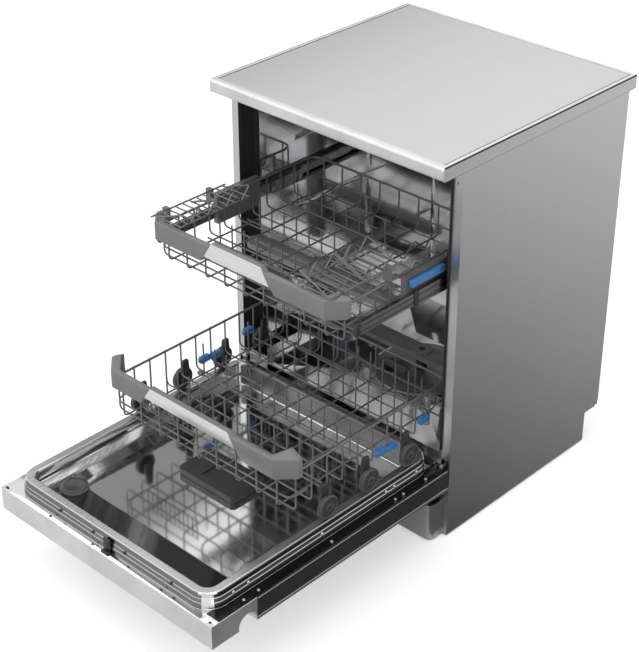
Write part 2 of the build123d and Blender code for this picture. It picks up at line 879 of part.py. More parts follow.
def button(x):
    """Round push button with a flange behind the panel."""
    stem = post(x, button_y(), door_outer_z - button_out, door_outer_z + panel_wall + 2,
                button_radius)
    flange = post(x, button_y(), door_outer_z + panel_wall + 0.02, door_outer_z + panel_wall + 2,
                  button_radius + 2)
    return stem + flange


def door_frame():
    """Black inner frame that closes the door's sides and its hinge end."""
    z1 = door_flange_z - liner_sheet
    z0 = door_outer_z + skin_sheet
    pieces = None
    for side in (-1, 1):
        inset = half - skin_sheet - 0.1
        web = block(side * inset, side * (inset - frame_wall), -skin_far, -door_gap, z0, z1)
        flange = block(side * inset, side * (liner_half + 3), -skin_far, -door_gap,
                       z1 - frame_wall, z1)
        pieces = web + flange if pieces is None else pieces + web + flange
    far_half = liner_half + 4
    pieces += block(-far_half, far_half, -6 - frame_wall, -6, z0, z1)
    return pieces - hinge_notches() - mirrored(hinge_notches())


def hinge_notches():
    """Room round the right hinge's boss."""
    return block(hinge_plate_x - hinge_notch_half, hinge_plate_x + hinge_notch_half,
                 -hinge_notch_length, 1, pivot_z - hinge_boss - 6, door_flange_z + 1)


def door_liner():
    """Inner steel sheet: flat flange, raised rim for the wheels and the pan inside it."""
    s = liner_sheet
    edge = half - liner_margin
    flange = block(-edge, edge, -door_reach + liner_margin, -door_gap, door_flange_z - s,
                   door_flange_z)
    raised = slab(liner_half, -liner_far, -liner_near, door_flange_z - s, rim_z, liner_corner)
    under = slab(liner_half - s, -liner_far + s, -liner_near - s, door_flange_z - s - 1,
                 rim_z - s, liner_corner - s)
    pan_near = liner_near + rim_width
    bowl = slab(pan_half + s, -pan_far - s, -pan_near + s, pan_z - s, rim_z - s / 2, pan_corner + s)
    space = slab(pan_half, -pan_far, -pan_near, pan_z, rim_z + 1, pan_corner)
    sheet = flange + raised - under + bowl - space
    return sheet - hinge_notches() - mirrored(hinge_notches())


def door_lip_seal():
    """Rubber strip along the door's hinge edge."""
    reach = liner_half - 12
    return block(-reach, reach, -liner_near + 2, -door_gap - 4, door_flange_z, door_flange_z + 6)


def hinge_bracket():
    """Right cabinet bracket with the door's pin."""
    x0 = hinge_plate_x - hinge_plate / 2
    x1 = hinge_plate_x + hinge_plate / 2
    y = -pivot_forward
    neck = block(x0, x1, y, hinge_back, pivot_z - hinge_boss, pivot_z + hinge_boss)
    boss = pin(x0, x1, y, pivot_z, hinge_boss)
    plate = block(x0, x1, panel_sheet + 1.2, hinge_back, pivot_z - 60, pivot_z + 34)
    wing = block(x0, half - panel_sheet, hinge_back - hinge_plate, hinge_back,
                 pivot_z - 60, pivot_z + 34)
    axle = pin(x0 - hinge_plate - 1.5, x1, y, pivot_z, pin_radius)
    return neck + boss + plate + wing + axle


def hinge_arm():
    """Right door arm that turns on the bracket's pin."""
    x1 = hinge_plate_x - hinge_plate / 2 - 0.8
    x0 = x1 - hinge_plate
    y = -pivot_forward
    under = door_flange_z - liner_sheet - frame_wall
    arm = block(x0, x1, -arm_length, y, door_outer_z + 10, under)
    arm += pin(x0, x1, y, pivot_z, hinge_boss)
    foot_block = block(x0, half - skin_sheet - 0.1 - frame_wall, -arm_length, -arm_length + 16,
                       door_outer_z + 12, under - 6)
    return arm + foot_block - pin(x0 - 1, x1 + 1, y, pivot_z, pin_radius + running_gap)


def dispenser_body():
    """Detergent box on the pan floor with an open chamber and the rinse aid filler."""
    y0 = dispenser_y - dispenser_wide / 2
    y1 = dispenser_y + dispenser_wide / 2
    top = pan_z + dispenser_tall
    body = block(dispenser_x0, dispenser_x1, y0, y1, pan_z, top)
    body = fillet(body.edges().filter_by(Axis.Z), 10)
    lid_x = dispenser_x0 + 8
    chamber = block(lid_x + 3, lid_x + lid_length - 3, dispenser_y - lid_wide / 2 + 4,
                    dispenser_y + lid_wide / 2 - 4, pan_z + 2, top + 1)
    body -= chamber
    guide_end = lid_x + lid_length + lid_travel
    for side in (-1, 1):
        inner = dispenser_y + side * (lid_wide / 2 + 0.4)
        body += block(lid_x, guide_end, inner, inner + side * 3, top - 0.5, top + lid_thickness)
    return body - post(rinse_x, dispenser_y + rinse_offset, top - 8, top + 1, rinse_radius - 4)


def dispenser_lid():
    """Lid that slides off the chamber between two guides."""
    top = pan_z + dispenser_tall
    x0 = dispenser_x0 + 8
    return block(x0, x0 + lid_length, dispenser_y - lid_wide / 2, dispenser_y + lid_wide / 2,
                 top, top + lid_thickness)


def rinse_cap():
    """Round filler cap with a grip bar, opened by a quarter turn."""
    top = pan_z + dispenser_tall
    y = dispenser_y + rinse_offset
    cap = post(rinse_x, y, top, top + 2.5, rinse_radius)
    return cap + block(rinse_x - rinse_radius + 3, rinse_x + rinse_radius - 3, y - 2, y + 2,
                       top + 2, top + 5.5)


def vent_cap():
    """Round cap over the drying vent in the pan's far corner."""
    x = vent_inset - pan_half
    y = -pan_far + 58
    return (post(x, y, pan_z, pan_z + 12, vent_radius)
            + post(x, y, pan_z + 12, pan_z + 15, vent_radius - 6))


def door_lock():
    """Lock bolt on the door's far rim and its seat on the flange."""
    seat = block(-9, 9, -liner_far - 10, -liner_far - 2, door_flange_z, door_flange_z + 3)
    bolt = block(-9, 9, -liner_far - 3, -liner_far, door_flange_z + 8, rim_z - 5)
    return seat, bolt


def counterweight():
    """Heavy block at the back of the base that keeps the machine from tipping."""
    back = side_depth - notch_depth - base_wall
    bottom = ground + base_wall
    return block(-counterweight_half, counterweight_half, back - counterweight_depth, back,
                 bottom, bottom + counterweight_height)


def circulation_pump():
    """Wash pump lying in the base, piped to the sump."""
    z = ground + base_wall + pump_radius
    body = rod((pump_x, tub_centre - pump_half, z), (pump_x, tub_centre + pump_half, z),
               pump_radius)
    riser = post(pump_x, tub_centre, z, pipe_z(), pump_pipe_radius)
    branch = pin(sump_radius + sump_wall + seat_gap, pump_x + pump_pipe_radius, tub_centre,
                 pipe_z(), pump_pipe_radius)
    return body + riser + branch


def pipe_z():
    """Height of the pump pipes at the sump's side."""
    return funnel_z - sump_depth + pipe_rise


def drain_pump():
    """Small drain pump in the base, piped to the sump."""
    z = ground + base_wall + drain_radius
    body = rod((-pump_x, tub_centre - drain_half, z), (-pump_x, tub_centre + drain_half, z),
               drain_radius)
    riser = post(-pump_x, tub_centre, z, pipe_z(), drain_pipe_radius)
    branch = pin(-sump_radius - sump_wall - seat_gap, -pump_x - drain_pipe_radius, tub_centre,
                 pipe_z(), drain_pipe_radius)
    return body + riser + branch


def rear_ports():
    """Plate behind the base with the water inlet, the drain spigot and the cable gland."""
    back = side_depth - notch_depth
    face = back + port_plate_thickness
    x0 = port_plate_gap - half
    ports = block(x0, x0 + port_plate_width, back, face, port_z - 24, port_z + 22)
    lengths = (inlet_length, spigot_length, gland_length)
    for i, (radius, length) in enumerate(zip((inlet_radius, spigot_radius, gland_radius), lengths)):
        x = x0 + 25 + i * port_pitch
        ports += rod((x, face - 1, port_z), (x, face + length, port_z), radius)
    return ports


def door_strike():
    """Hook under the crossbar that the door lock catches."""
    room = block(-strike_half, strike_half, strike_front, strike_front + strike_depth,
                 opening_top - strike_height, opening_top)
    slot = block(-strike_half + 3, strike_half - 3, strike_front + 5,
                 strike_front + strike_depth - 5, opening_top - strike_height - 1, opening_top - 3)
    return room - slot


def write_cabinet():
    """Writes what stays with the cabinet."""
    save("side_panel_right", side_panel())
    save("side_panel_left", mirrored(side_panel()))
    save("top_frame", top_frame())
    save("top_plate", top_plate())
    save("top_board", top_board())
    save("back_panel", back_panel())
    save("crossbar", crossbar())
    save("feet", *[foot(x, y) for x, y in foot_places()])
    save("base_tray", base_tray())
    save("plinth", plinth())
    save("tub", tub())
    save("tub_gasket", tub_gasket())
    save("seal_strip", seal_strip())
    save("sump", sump())
    save("filter_plate", filter_plate())
    save("spray_feed", spray_feed())
    save("outer_rails", outer_rail(), mirrored(outer_rail()))
    save("hinge_brackets", hinge_bracket(), mirrored(hinge_bracket()))
    save("counterweight", counterweight())
    save("pumps", circulation_pump(), drain_pump())
    save("rear_ports", rear_ports())
    save("door_strike", door_strike())


def write_door():
    """Writes the door, its fittings and what moves on it."""
    save("door_panel", door_panel())
    save("control_panel", control_panel())
    save("door_frame", door_frame())
    save("door_liner", door_liner())
    save("door_lip_seal", door_lip_seal())
    save("hinge_arms", hinge_arm(), mirrored(hinge_arm()))
    save("dispenser_body", dispenser_body())
    save("dispenser_lid", dispenser_lid())
    save("rinse_cap", rinse_cap())
    save("vent_cap", vent_cap())
    save("door_lock", *door_lock())
    for name, x in zip(("power_button", "start_button"), button_places):
        save(name, button(x))


def write_tub_fittings():
    """Writes what turns or lifts inside the tub."""
    save("filter_cup", filter_cup())
    save("lower_spray_arm", spray_arm(0, tub_centre, lower_arm_z, lower_arm_length,
                                      lower_arm_width))
    save("ceiling_spray_arm", spray_arm(0, tub_centre, ceiling_arm_z, ceiling_arm_length,
                                        ceiling_arm_width))


def write_upper_rack():
    """Writes the upper rack, its rails and what folds or turns on it."""
    save("middle_rails", middle_rail(), mirrored(middle_rail()))
    save("inner_rails", inner_rail(), mirrored(inner_rail()))
    brackets = [lift_plate()] + shelf_hinges()
    save("rack_brackets", *brackets, *[mirrored(bracket) for bracket in brackets])
    save("upper_basket", upper_basket())
    grip = handle(upper_front, upper_handle_z, upper_handle_height, upper_half - upper_grip_inset,
                  upper_half + upper_wing_out, upper_wing_back, handle_wall)
    save("upper_handle", grip)
    save("upper_inlay", inlay(upper_front, upper_handle_z + 9, upper_handle_height - 4,
                               upper_inlay_half, upper_inlay_slant, inlay_thickness))
    save("upper_feed", upper_feed())
    save("upper_spray_arm", spray_arm(0, upper_arm_y(), upper_arm_z(), upper_arm_length,
                                      upper_arm_width))
    save("height_lever_right", height_lever())
    save("height_lever_left", mirrored(height_lever()))
    save("cup_shelf_right", cup_shelf())
    save("cup_shelf_left", mirrored(cup_shelf()))


def write_lower_rack():
    """Writes the lower rack, its wheels and its folding prongs."""
    save("lower_basket", lower_basket())
    grip = handle(lower_front, lower_handle_z, lower_handle_height, lower_half - lower_grip_inset,
                  lower_half + lower_wing_out, lower_wing_back, handle_wall)
    save("lower_handle", grip)
    save("lower_inlay", inlay(lower_front, lower_handle_z + 14, lower_handle_height - 14,
                               lower_inlay_half, lower_inlay_slant, inlay_thickness))
    brackets = [wheel_bracket(y) for y in wheel_places()]
    save("wheel_brackets", *brackets, *[mirrored(bracket) for bracket in brackets])
    for number, y in enumerate(wheel_places(), 1):
        save("wheel_pair_" + str(number), wheel(y), mirrored(wheel(y)))
    save("tine_row_front", tine_row(hinged_rows[0]))
    save("tine_row_back", tine_row(hinged_rows[1]))


write_cabinet()
write_door()
write_tub_fittings()
write_upper_rack()
write_lower_rack()
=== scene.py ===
import json
import math

import bmesh
import bpy
from bpy.props import FloatProperty, FloatVectorProperty, IntProperty, PointerProperty
from mathutils import Matrix, Vector


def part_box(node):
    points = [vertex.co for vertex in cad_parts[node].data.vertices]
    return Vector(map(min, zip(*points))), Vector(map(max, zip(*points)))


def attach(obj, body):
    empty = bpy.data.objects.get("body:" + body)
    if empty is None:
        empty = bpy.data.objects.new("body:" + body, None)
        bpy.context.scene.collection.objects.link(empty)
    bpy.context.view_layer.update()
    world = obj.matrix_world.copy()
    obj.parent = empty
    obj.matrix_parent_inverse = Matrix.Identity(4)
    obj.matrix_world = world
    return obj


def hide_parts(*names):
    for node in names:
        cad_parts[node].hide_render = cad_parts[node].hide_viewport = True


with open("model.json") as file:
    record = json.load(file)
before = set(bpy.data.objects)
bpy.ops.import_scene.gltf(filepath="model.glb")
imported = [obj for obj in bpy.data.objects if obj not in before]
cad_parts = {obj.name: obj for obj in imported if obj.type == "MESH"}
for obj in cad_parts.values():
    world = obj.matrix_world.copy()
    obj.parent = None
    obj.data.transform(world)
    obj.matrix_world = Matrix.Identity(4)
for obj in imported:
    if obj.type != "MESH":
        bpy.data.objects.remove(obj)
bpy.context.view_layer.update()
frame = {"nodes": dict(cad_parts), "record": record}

bl_info = {
    "name": "Open dishwasher",
    "version": (1, 0, 0),
    "blender": (4, 5, 0),
    "location": "View3D > Sidebar > Dishwasher",
    "description": "Dresses the dishwasher's frame with wire racks, pressed steel and its finishes",
    "category": "Object",
}

# Metres, but the near and far walls of the door's pan are in millimetres behind the front
MM = 0.001
SHEET = 0.0006
MERGE_GAP = 0.00001
FLAT_ANGLE = math.radians(1.0)
SMOOTH_ANGLE = math.radians(35.0)
SHARP_ANGLE = math.radians(40.0)
STRAIGHT_ANGLE = math.radians(176.0)
SIDE_LOW, SIDE_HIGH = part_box("side_panel_right")
FRONT = SIDE_LOW.y
HALF = SIDE_HIGH.x
RIM_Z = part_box("door_liner")[1].z
FLANGE_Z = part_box("control_panel")[1].z + SHEET
PAN_NEAR, PAN_FAR = -16, -634
UPPER_RIM_Z = 0.622
WHEEL_X = 0.262
UP = (0.0, 0.0, 1.0)


class FinishSizes(bpy.types.PropertyGroup):
    """Colours that a user would change."""

    steel: FloatVectorProperty(
        name="Brushed steel", description="Colour of the outer brushed sheets",
        subtype="COLOR", size=3, min=0.0, max=1.0, default=(0.60, 0.60, 0.605))
    polished: FloatVectorProperty(
        name="Polished steel", description="Colour of the tub and the inner door",
        subtype="COLOR", size=3, min=0.0, max=1.0, default=(0.74, 0.74, 0.745))
    silver: FloatVectorProperty(
        name="Silver paint", description="Colour of the top's border and the control panel",
        subtype="COLOR", size=3, min=0.0, max=1.0, default=(0.72, 0.72, 0.725))
    grey: FloatVectorProperty(
        name="Grey plastic", description="Colour of the rack handles and wheels",
        subtype="COLOR", size=3, min=0.0, max=1.0, default=(0.20, 0.20, 0.205))
    wire: FloatVectorProperty(
        name="Wire coating", description="Colour of the coated rack wires",
        subtype="COLOR", size=3, min=0.0, max=1.0, default=(0.16, 0.16, 0.165))
    blue: FloatVectorProperty(
        name="Blue plastic", description="Colour of the levers and clips",
        subtype="COLOR", size=3, min=0.0, max=1.0, default=(0.045, 0.19, 0.47))
    black: FloatVectorProperty(
        name="Black", description="Colour of the door's sides, the seals and the brackets",
        subtype="COLOR", size=3, min=0.0, max=1.0, default=(0.022, 0.022, 0.023))


class RackSizes(bpy.types.PropertyGroup):
    """Wire sizes of the racks."""

    wire: FloatProperty(
        name="Wire radius", description="Radius of the basket wires", subtype="DISTANCE",
        unit="LENGTH", min=0.0005, default=0.0019)
    rim: FloatProperty(
        name="Rim radius", description="Radius of the baskets' top rails", subtype="DISTANCE",
        unit="LENGTH", min=0.0005, default=0.0026)
    bend: FloatProperty(
        name="Bend radius", description="Radius of the wires' bends", subtype="DISTANCE",
        unit="LENGTH", min=0.001, default=0.011)
    hoops: IntProperty(
        name="Hoops", description="Wires across each basket", min=4, default=11)
    runs: IntProperty(
        name="Runs", description="Wires from front to back in each basket", min=3, default=9)


class StageSizes(bpy.types.PropertyGroup):
    """Camera and light levels."""

    azimuth: FloatProperty(
        name="Azimuth", description="Camera's turn round the machine", subtype="ANGLE",
        unit="ROTATION", default=math.radians(43.43))
    elevation: FloatProperty(
        name="Elevation", description="Camera's height angle", subtype="ANGLE",
        unit="ROTATION", default=math.radians(30.86))
    lens: FloatProperty(
        name="Lens", description="Focal length over a 36 mm wide frame", unit="CAMERA",
        default=93.06)
    key: FloatProperty(
        name="Key light", description="Power of the large lamp over the front left",
        unit="POWER", min=0.0, default=34.0)
    sky: FloatProperty(
        name="Sky", description="Strength of the even light from all round", min=0.0,
        default=0.72)


# Node groups for surface effects

def effect_group(name, own_input, rough_low, rough_high):
    """A shader node group with its inputs, and with roughness, height and shade as outputs."""
    group = bpy.data.node_groups.new(name, "ShaderNodeTree")
    for label, kind, value in (("Vector", "NodeSocketVector", None), own_input,
                               ("Roughness Low", "NodeSocketFloat", rough_low),
                               ("Roughness High", "NodeSocketFloat", rough_high)):
        socket = group.interface.new_socket(label, in_out="INPUT", socket_type=kind)
        if value is not None:
            socket.default_value = value
    for label in ("Roughness", "Height", "Shade"):
        group.interface.new_socket(label, in_out="OUTPUT", socket_type="NodeSocketFloat")
    return group, group.nodes.new("NodeGroupInput"), group.nodes.new("NodeGroupOutput")


def feed(links, socket, value):
    """Sets an input to a plain number, or links it where the value is a socket."""
    if isinstance(value, (int, float)):
        socket.default_value = value
    else:
        links.new(value, socket)


def math_node(nodes, links, operation, *values):
    """A Math node fed by sockets or plain numbers."""
    node = nodes.new("ShaderNodeMath")
    node.operation = operation
    for socket, value in zip(node.inputs, values):
        feed(links, socket, value)
    return node.outputs[0]


def noise(nodes, links, vector, scale, detail):
    """The value of a noise texture."""
    node = nodes.new("ShaderNodeTexNoise")
    node.inputs["Detail"].default_value = detail
    links.new(vector, node.inputs["Vector"])
    feed(links, node.inputs["Scale"], scale)
    return node.outputs["Fac"]


def ramp_between(nodes, links, value, low, high, from_low=0.3, from_high=0.7):
    """Maps a mask to a range of values."""
    node = nodes.new("ShaderNodeMapRange")
    for label, each in (("Value", value), ("From Min", from_low), ("From Max", from_high),
                        ("To Min", low), ("To Max", high)):
        feed(links, node.inputs[label], each)
    return node.outputs["Result"]


def brushed_group():
    """Fine parallel scratches along one direction, with a broad cloudiness."""
    group, given, out = effect_group(
        "Brushed scratches", ("Stretch", "NodeSocketVector", (1.0, 1.0, 1.0)), 0.2, 0.35)
    nodes, links = group.nodes, group.links
    scale = nodes.new("ShaderNodeVectorMath")
    scale.operation = "MULTIPLY"
    links.new(given.outputs["Vector"], scale.inputs[0])
    links.new(given.outputs["Stretch"], scale.inputs[1])
    lines = noise(nodes, links, scale.outputs[0], 1.0, 5.0)
    cloud = noise(nodes, links, given.outputs["Vector"], 3.0, 3.0)
    both = math_node(nodes, links, "MULTIPLY_ADD", cloud, 0.5, lines)
    rough = ramp_between(nodes, links, both, given.outputs["Roughness Low"],
                         given.outputs["Roughness High"], 0.5, 1.0)
    links.new(rough, out.inputs["Roughness"])
    links.new(lines, out.inputs["Height"])
    links.new(ramp_between(nodes, links, lines, 0.94, 1.03), out.inputs["Shade"])
    return group


def moulded_group():
    """Fine moulding grain with slight wear and dust variation."""
    group, given, out = effect_group(
        "Moulded grain", ("Grain Scale", "NodeSocketFloat", 900.0), 0.35, 0.5)
    nodes, links = group.nodes, group.links
    grain = noise(nodes, links, given.outputs["Vector"], given.outputs["Grain Scale"], 2.0)
    patch = noise(nodes, links, given.outputs["Vector"], 14.0, 4.0)
    rough = ramp_between(nodes, links, patch, given.outputs["Roughness Low"],
                         given.outputs["Roughness High"])
    links.new(rough, out.inputs["Roughness"])
    links.new(grain, out.inputs["Height"])
    links.new(ramp_between(nodes, links, patch, 0.9, 1.08), out.inputs["Shade"])
    return group


def finish(name, colour, metallic, group, settings, bump, coat):
    """A Principled material whose roughness, shade and bump come from an effect group."""
    material = bpy.data.materials.new(name)
    material.use_nodes = True
    nodes, links = material.node_tree.nodes, material.node_tree.links
    shader = nodes["Principled BSDF"]
    shader.inputs["Metallic"].default_value = metallic
    shader.inputs["Coat Weight"].default_value = coat
    place = nodes.new("ShaderNodeTexCoord")
    effect = nodes.new("ShaderNodeGroup")
    effect.node_tree = group
    links.new(place.outputs["Object"], effect.inputs["Vector"])
    for label, value in settings.items():
        effect.inputs[label].default_value = value
    links.new(effect.outputs["Roughness"], shader.inputs["Roughness"])
    tint = nodes.new("ShaderNodeMix")
    tint.data_type = "RGBA"
    tint.blend_type = "MULTIPLY"
    tint.inputs["Factor"].default_value = 1.0
    tint.inputs["A"].default_value = (*colour, 1.0)
    links.new(effect.outputs["Shade"], tint.inputs["B"])
    links.new(tint.outputs["Result"], shader.inputs["Base Color"])
    relief = nodes.new("ShaderNodeBump")
    relief.inputs["Strength"].default_value = bump
    relief.inputs["Distance"].default_value = 0.0002
    links.new(effect.outputs["Height"], relief.inputs["Height"])
    links.new(relief.outputs["Normal"], shader.inputs["Normal"])
    material.diffuse_color = (*colour, 1.0)
    return material


ALONG_X, ALONG_Y, ALONG_Z = (14.0, 900.0, 900.0), (900.0, 14.0, 900.0), (900.0, 900.0, 14.0)
FINE = 900.0

# Name, colour or its setting, metallic, brushing direction or scale of the moulding grain,
# lowest and highest roughness, bump and coat
FINISH_TABLE = (
    ("steel_top", "steel", 1.0, ALONG_X, 0.30, 0.42, 0.05, 0.0),
    ("steel_side", "steel", 1.0, ALONG_Z, 0.30, 0.42, 0.05, 0.0),
    ("steel_front", "steel", 1.0, ALONG_X, 0.28, 0.40, 0.05, 0.0),
    ("polished", "polished", 1.0, ALONG_Y, 0.05, 0.10, 0.01, 0.0),
    ("pan_steel", (0.74, 0.74, 0.745), 1.0, ALONG_X, 0.06, 0.12, 0.01, 0.0),
    # Near black copy of the steel: painted shade on the liner's right walls and flange
    ("dark_painted_shade_wall", (0.055, 0.055, 0.056), 1.0, ALONG_Y, 0.18, 0.28, 0.03, 0.0),
    ("satin_rim", "steel", 1.0, ALONG_Y, 0.22, 0.32, 0.03, 0.0),
    ("silver", "silver", 0.85, FINE, 0.32, 0.40, 0.03, 0.0),
    # Grey copy of the steel: painted shade on the liner's other raised walls
    ("satin_painted_shade_wall", (0.20, 0.20, 0.205), 1.0, ALONG_Y, 0.16, 0.26, 0.03, 0.0),
    ("zinc", (0.34, 0.34, 0.35), 0.9, 300.0, 0.3, 0.5, 0.08, 0.0),
    ("rail", (0.30, 0.30, 0.305), 1.0, ALONG_Y, 0.16, 0.28, 0.03, 0.0),
    ("black_paint", "black", 0.0, FINE, 0.25, 0.36, 0.06, 0.2),
    ("black_plastic", (0.03, 0.03, 0.032), 0.0, FINE, 0.38, 0.52, 0.12, 0.0),
    ("rubber", (0.018, 0.018, 0.018), 0.0, FINE, 0.5, 0.68, 0.15, 0.0),
    ("grey_plastic", "grey", 0.0, FINE, 0.34, 0.46, 0.10, 0.0),
    ("vent_plastic", (0.06, 0.06, 0.062), 0.0, FINE, 0.25, 0.38, 0.08, 0.0),
    ("dark_plastic", (0.075, 0.075, 0.078), 0.0, FINE, 0.35, 0.5, 0.10, 0.0),
    ("blue_plastic", "blue", 0.0, FINE, 0.22, 0.32, 0.05, 0.3),
    ("wire", "wire", 0.25, FINE, 0.28, 0.42, 0.05, 0.2),
    ("inlay", (0.80, 0.80, 0.805), 0.9, ALONG_X, 0.25, 0.35, 0.03, 0.0),
    ("board", (0.45, 0.33, 0.21), 0.0, 160.0, 0.6, 0.8, 0.3, 0.0),
    ("iron", (0.20, 0.20, 0.20), 0.6, 120.0, 0.5, 0.7, 0.4, 0.0),
)

FINISHES = {}

# CAD nodes that are carried over as they are, and their finish
CARRIED_OVER = (("tub", "polished"), ("rear_ports", "black_plastic"))


def make_finishes(colours):
    """All materials of the machine, by name."""
    brushed, moulded = brushed_group(), moulded_group()
    made = {}
    for name, colour, metallic, grain, low, high, bump, coat in FINISH_TABLE:
        if isinstance(colour, str):
            colour = getattr(colours, colour)
        group, label = (brushed, "Stretch") if isinstance(grain, tuple) else \
            (moulded, "Grain Scale")
        settings = {label: grain, "Roughness Low": low, "Roughness High": high}
        made[name] = finish(name, colour, metallic, group, settings, bump, coat)
    return made


# Helpers for pieces

def body_of_node(node):
    """Name of the body that carries a CAD node."""
    bodies = frame["record"]["behaviour"]["bodies"]
    return next(name for name, nodes in bodies.items() if node in nodes)


def middle_of(node):
    """Middle of a CAD node's box."""
    low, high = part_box(node)
    return (low + high) / 2


def settle(piece, body, material_name):
    """Gives a new piece its material and its body."""
    bpy.context.scene.collection.objects.link(piece)
    piece.data.materials.append(FINISHES[material_name])
    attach(piece, body)
    return piece


def piece_from(bm, name, body, material_name):
    """Turns a bmesh into a piece on a body, with sharp edges marked."""
    bmesh.ops.recalc_face_normals(bm, faces=bm.faces)
    for face in bm.faces:
        face.smooth = True
    for edge in bm.edges:
        edge.smooth = len(edge.link_faces) == 2 and edge.calc_face_angle(0.0) < SMOOTH_ANGLE
    return settle(object_from(bm, name), body, material_name)


def object_from(bm, name):
    """Turns a bmesh into an object that isn't in the scene yet."""
    mesh = bpy.data.meshes.new(name)
    bm.to_mesh(mesh)
    bm.free()
    return bpy.data.objects.new(name, mesh)


def cad_mesh(node):
    """The mesh of a CAD node with merged corners and faces."""
    bm = bmesh.new()
    bm.from_mesh(frame["nodes"][node].data)
    bmesh.ops.remove_doubles(bm, verts=bm.verts, dist=MERGE_GAP)
    bmesh.ops.dissolve_limit(bm, angle_limit=FLAT_ANGLE, verts=bm.verts, edges=bm.edges)
    return bm


def round_edges(piece, width):
    """Rounds a piece's sharp edges."""
    edge = piece.modifiers.new("Rounded edges", "BEVEL")
    edge.width = width
    edge.segments = 2
    edge.limit_method = "ANGLE"
    edge.angle_limit = SHARP_ANGLE
    edge.harden_normals = True


def dress_all(pieces):
    """Makes dressed copies from a table of nodes, rounding in millimetres and finish."""
    for node, bevel, material in pieces:
        piece = piece_from(cad_mesh(node), node + "_dressed", body_of_node(node), material)
        round_edges(piece, bevel * MM)
        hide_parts(node)


def rounded(points, radius, steps=5):
    """A path through points whose corners are arcs of about the given radius."""
    path = [Vector(points[0])]
    for before, corner, after in zip(points, points[1:], points[2:]):
        corner = Vector(corner)
        back = Vector(before) - corner
        ahead = Vector(after) - corner
        turn = back.angle(ahead)
        if turn > STRAIGHT_ANGLE:
            path.append(corner)
            continue
        reach = min(radius / math.tan(turn / 2.0), back.length * 0.45, ahead.length * 0.45)
        first = corner + back.normalized() * reach
        last = corner + ahead.normalized() * reach
        for step in range(steps + 1):
            t = step / steps
            path.append(first.lerp(corner, t).lerp(corner.lerp(last, t), t))
    path.append(Vector(points[-1]))
    return path


def wires(name, runs, body, material_name):
    """One piece made of round wires; each run is (points, wire radius, bend radius)."""
    curve = bpy.data.curves.new(name, "CURVE")
    curve.dimensions = "3D"
    curve.bevel_depth = 1.0
    curve.bevel_resolution = 1
    curve.use_fill_caps = True
    for points, radius, bend in runs:
        path = rounded(points, bend)
        spline = curve.splines.new("POLY")
        spline.points.add(len(path) - 1)
        for knot, place in zip(spline.points, path):
            knot.co = (*place, 1.0)
            knot.radius = radius
        spline.use_smooth = True
    return settle(bpy.data.objects.new(name, curve), body, material_name)


def rod(start, end, radius):
    """A straight run for wires."""
    return [start, end], radius, 0.0


def spread(first, last, count):
    """Evenly spaced values, both ends included."""
    return [first + (last - first) * i / (count - 1) for i in range(count)]


def at(x, depth, z):
    """A point from millimetres: across, behind the cabinet's front plane, and up."""
    return Vector((x * MM, FRONT + depth * MM, z * MM))


def standing(centre, axis):
    """The matrix that puts a form on a centre with its own up along an axis."""
    turn = Vector(UP).rotation_difference(Vector(axis)).to_matrix().to_4x4()
    return Matrix.Translation(centre) @ turn


def round_boss(bm, centre, axis, radius, tall):
    """A small pan-head screw with a sunk middle on a surface."""
    made = bmesh.ops.create_cone(bm, cap_ends=True, segments=16, radius1=radius,
                                 radius2=radius * 0.72, depth=tall, matrix=standing(centre, axis))
    top = max({face for vert in made["verts"] for face in vert.link_faces},
              key=lambda face: (face.calc_center_median() - Vector(centre)).dot(Vector(axis)))
    bmesh.ops.inset_region(bm, faces=[top], thickness=radius * 0.38, depth=0.0)
    bmesh.ops.inset_region(bm, faces=[top], thickness=radius * 0.04, depth=-tall * 0.5)


def screws(name, places, body, radius=0.0032, material_name="zinc"):
    """A set of screws; each place is (point, outward direction)."""
    bm = bmesh.new()
    for point, axis in places:
        round_boss(bm, point, axis, radius, radius * 0.6)
    piece_from(bm, name, body, material_name)


def pressed_outline(bm, half_width, y0, y1, z, radius):
    """A flat face with rounded corners, ready to be pressed up or down."""
    made = bmesh.ops.create_grid(bm, x_segments=1, y_segments=1, size=1.0)
    for vert in made["verts"]:
        vert.co = Vector((vert.co.x * half_width, (y0 + y1) / 2 + vert.co.y * (y1 - y0) / 2, z))
    bmesh.ops.bevel(bm, geom=made["verts"], offset=radius, segments=9, profile=0.5,
                    affect="VERTICES", material=-1)
    bm.faces.ensure_lookup_table()
    return bm.faces[0]


def press(bm, face, steps):
    """Presses a face through (inward, along the normal) steps in millimetres."""
    for thickness, depth in steps:
        bmesh.ops.inset_region(bm, faces=[face], thickness=thickness * MM, depth=depth * MM,
                               use_even_offset=True)


# Dressed copies: node, rounding in millimetres and finish

CABINET_PIECES = (
    ("side_panel_left", 0.35, "steel_side"), ("side_panel_right", 0.35, "steel_side"),
    ("top_plate", 0.3, "steel_top"), ("crossbar", 0.35, "silver"),
    ("plinth", 0.3, "steel_front"), ("back_panel", 0.2, "zinc"),
    ("base_tray", 0.8, "black_plastic"), ("top_board", 0.6, "board"),
    ("counterweight", 2.5, "iron"), ("pumps", 1.2, "black_plastic"))
TUB_PIECES = (
    ("seal_strip", 0.4, "polished"), ("door_strike", 0.5, "zinc"),
    ("tub_gasket", 0.9, "rubber"), ("spray_feed", 1.5, "grey_plastic"),
    ("sump", 1.0, "black_plastic"), ("filter_plate", 0.5, "zinc"),
    ("filter_cup", 0.8, "grey_plastic"), ("lower_spray_arm", 2.2, "grey_plastic"),
    ("upper_spray_arm", 2.2, "grey_plastic"), ("ceiling_spray_arm", 2.2, "grey_plastic"))
RAIL_PIECES = (
    ("outer_rails", 0.4, "rail"), ("middle_rails", 0.4, "rail"), ("inner_rails", 0.4, "rail"))
